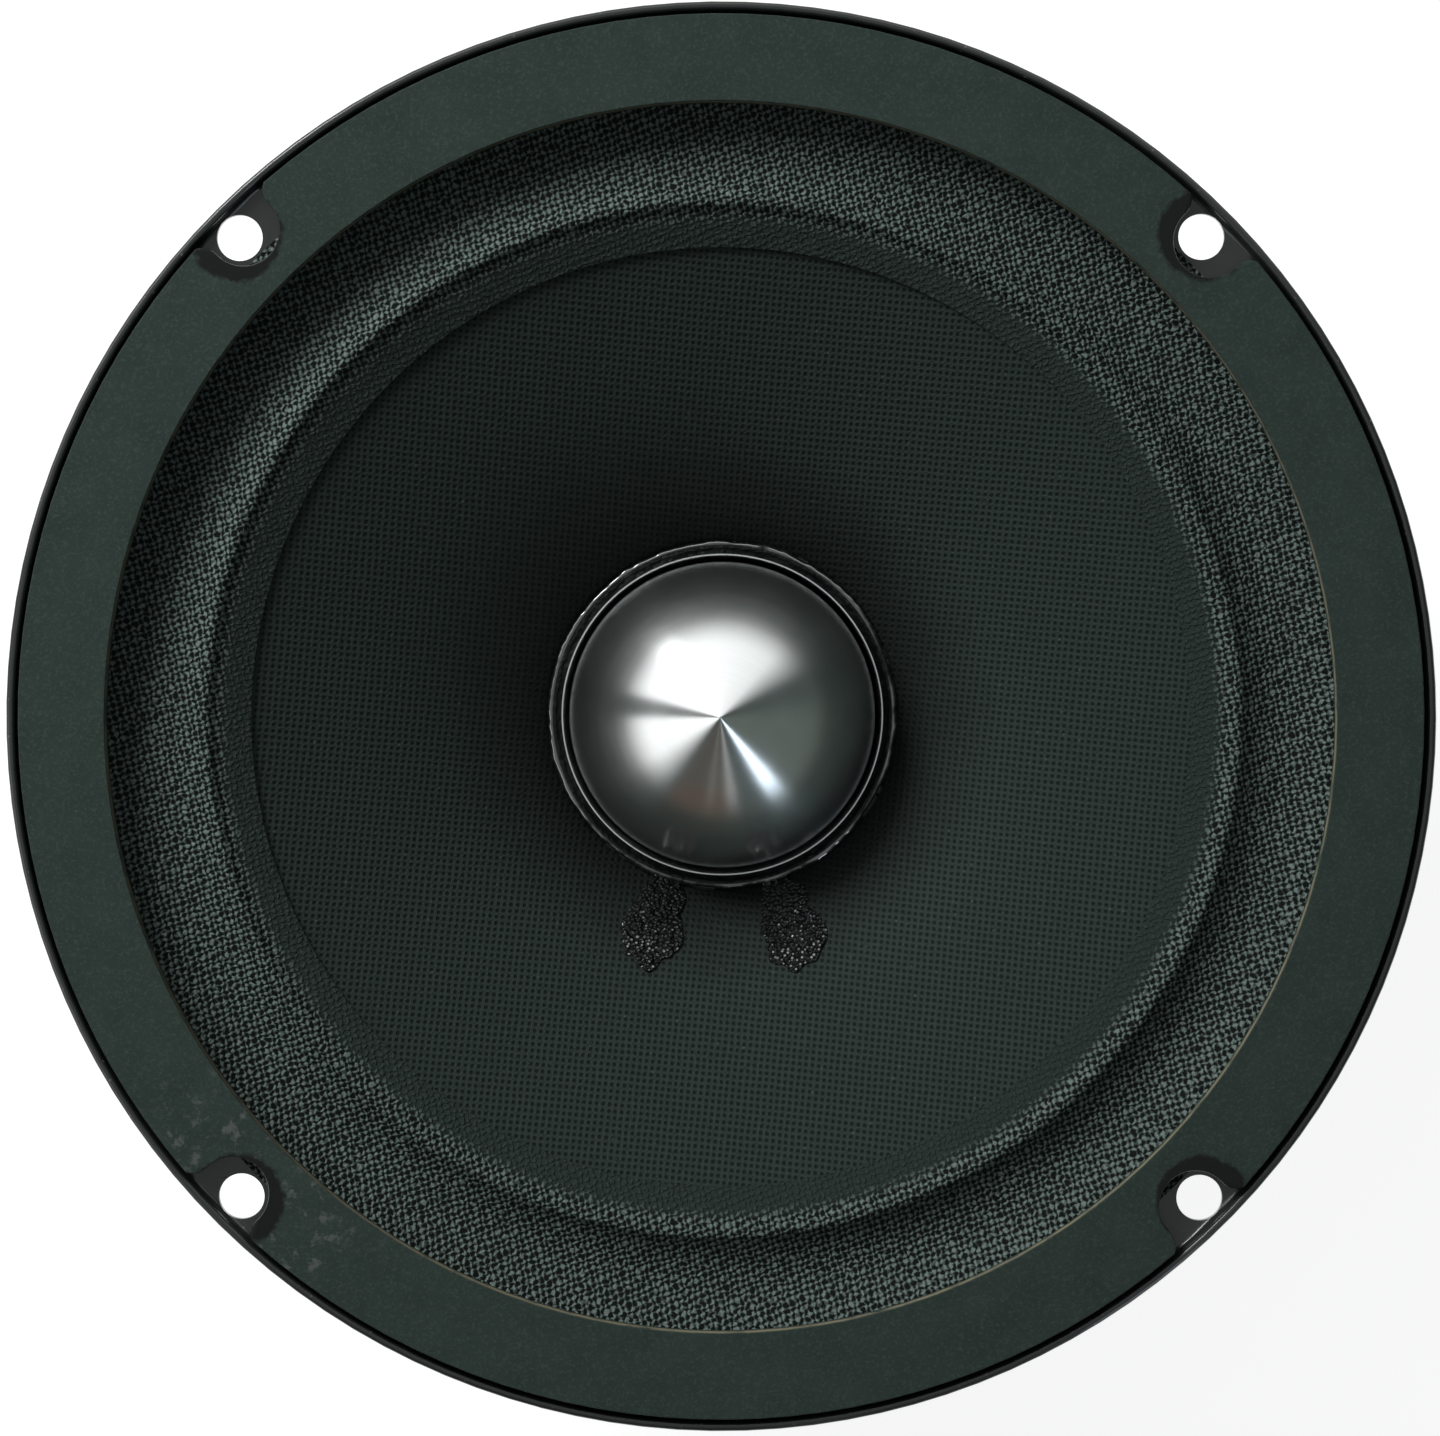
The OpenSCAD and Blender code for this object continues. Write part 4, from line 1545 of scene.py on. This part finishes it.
@dataclass
class Studio:
    """A pale floor, soft light all round one side, and the camera over the driver."""

    lens: float = 105.7
    stand_off: float = 0.49
    lean: tuple[float, float] = (0.006, 0.009)
    floor_size: float = 8.0
    floor_glow: float = 0.855
    light_turn: float = 130.0
    brightest_turn: float = 150.0
    mullion_turn: float = 174.0
    strip_turn: float = 305.0
    line_turns: tuple[float, float] = (277.0, 262.0)
    haze_turn: float = 338.0
    warm_turn: float = 256.0
    fill: float = 0.55
    ceiling: float = 0.35

    def floor(self) -> None:
        """The floor under the magnet."""
        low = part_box("yoke")[0][2]
        bm = bmesh.new()
        bmesh.ops.create_grid(bm, x_segments=8, y_segments=8, size=self.floor_size / 2)
        bmesh.ops.translate(bm, vec=(0, 0, low - 0.0001), verts=bm.verts)
        mesh = bpy.data.meshes.new("floor")
        bm.to_mesh(mesh)
        bm.free()
        material = bpy.data.materials.new("pale_floor")
        material.use_nodes = True
        board = Board(material.node_tree)
        fixed = {
            "Base Color": (0.35, 0.355, 0.35),
            "Emission Color": (1.0, 1.0, 1.0),
            "Emission Strength": self.floor_glow,
            "Roughness": 0.9,
            "Specular IOR Level": 0.1,
        }
        for name, value in fixed.items():
            board.put(material.node_tree.nodes["Principled BSDF"].inputs[name], value)
        mesh.materials.append(material)
        add_object("floor", mesh)

    def room(self) -> None:
        """A bright half of the room to the upper left, a dim half, and a narrow window between."""
        world = bpy.data.worlds.new("room")
        bpy.context.scene.world = world
        world.use_nodes = True
        world.node_tree.nodes.clear()
        board = Board(world.node_tree)
        way = board.node("ShaderNodeTexCoord", out="Generated")
        x, y, z = board.parts(way)
        flat = (x * x + y * y + 0.0001).root()

        def towards(turn: float) -> Sock:
            """Cosine of the angle round from a direction, in degrees."""
            a = math.radians(turn)
            return (x * math.cos(a) + y * math.sin(a)) / flat

        high = z.above(0.36, 0.3) * z.below(0.86, 0.12)
        bright = towards(self.light_turn).above(-0.05, 0.4) * (0.75 + 0.25 * towards(self.brightest_turn))
        mullion = towards(self.mullion_turn).above(0.992, 0.008) * z.below(0.8, 0.1)
        bright = bright * (1.0 - 0.95 * mullion)
        strip = towards(self.strip_turn).above(0.9955, 0.004)
        first, second = (towards(turn) for turn in self.line_turns)
        line = first.above(0.998, 0.002) + 0.3 * second.above(0.999, 0.001)
        haze = towards(self.haze_turn).above(0.88, 0.16)
        warm = towards(self.warm_turn).above(0.94, 0.05) * z.below(0.6, 0.15)
        shade = board.mix(warm, (0.055, 0.07, 0.066), (0.1, 0.07, 0.055))
        shade = board.mix(haze, shade, (0.105, 0.125, 0.113))
        level = (1.45 * bright + 0.3 * line) * high + self.ceiling * z.above(0.93, 0.06)
        colour = board.mix(1.0, shade, board.vector(level, level, level), "ADD")
        colour = board.mix(strip * high, colour, (1.9, 2.2, 2.5))
        diffuse = board.node("ShaderNodeLightPath", out="Is Diffuse Ray")
        colour = board.mix(diffuse * self.fill, colour, (0.0, 0.0, 0.0))
        seen = board.node("ShaderNodeLightPath", out="Is Camera Ray")
        colour = board.mix(seen, colour, (0.9, 0.905, 0.9))
        shine = board.node("ShaderNodeBackground", None, {"Color": colour, "Strength": 1.0})
        end = world.node_tree.nodes.new("ShaderNodeOutputWorld")
        world.node_tree.links.new(shine.socket, end.inputs["Surface"])

    def lamp(self, name: str, place: Sequence[float], size: float, watts: float, glints: bool) -> None:
        """A round lamp that faces the driver.

        Args:
            name: Its name.
            place: Where it hangs, in metres.
            size: Its width.
            watts: Its power.
            glints: Whether shiny surfaces show it.
        """
        light = bpy.data.lights.new(name, "AREA")
        light.shape = "DISK"
        light.size = size
        light.energy = watts
        made = add_object(name, light)
        made.location = place
        made.rotation_euler = (-Vector(place)).to_track_quat("-Z", "Y").to_euler()
        made.visible_glossy = glints

    def camera(self) -> None:
        """The camera, nearly square over the front."""
        lens = bpy.data.cameras.new("camera")
        lens.lens = self.lens
        lens.clip_start = 0.05
        made = add_object("camera", lens)
        eye = Vector((*self.lean, self.stand_off))
        made.location = eye
        back = eye.normalized()
        right = Vector((0, 1, 0)).cross(back).normalized()
        made.rotation_euler = Matrix((right, back.cross(right), back)).transposed().to_euler()
        bpy.context.scene.camera = made

    def build(self) -> None:
        """Sets the studio up."""
        self.floor()
        self.room()
        self.lamp("key", (-0.42, 0.43, 0.37), 0.3, 5.2, glints=False)
        self.lamp("glint", (-0.345, 0.41, 0.45), 0.15, 0.9, glints=True)
        self.camera()
        bpy.context.scene.view_settings.view_transform = "Standard"


def main() -> None:
    """Builds the driver and its studio, piece by piece."""
    logging.basicConfig(level=logging.INFO, format="%(name)s: %(message)s")
    for part in (Chassis(), Motor(), Diaphragm(), Coil(), Leads(), Studio()):
        log.info("building %s", type(part).__name__)
        part.build()


if __name__ == "__main__":
    main()
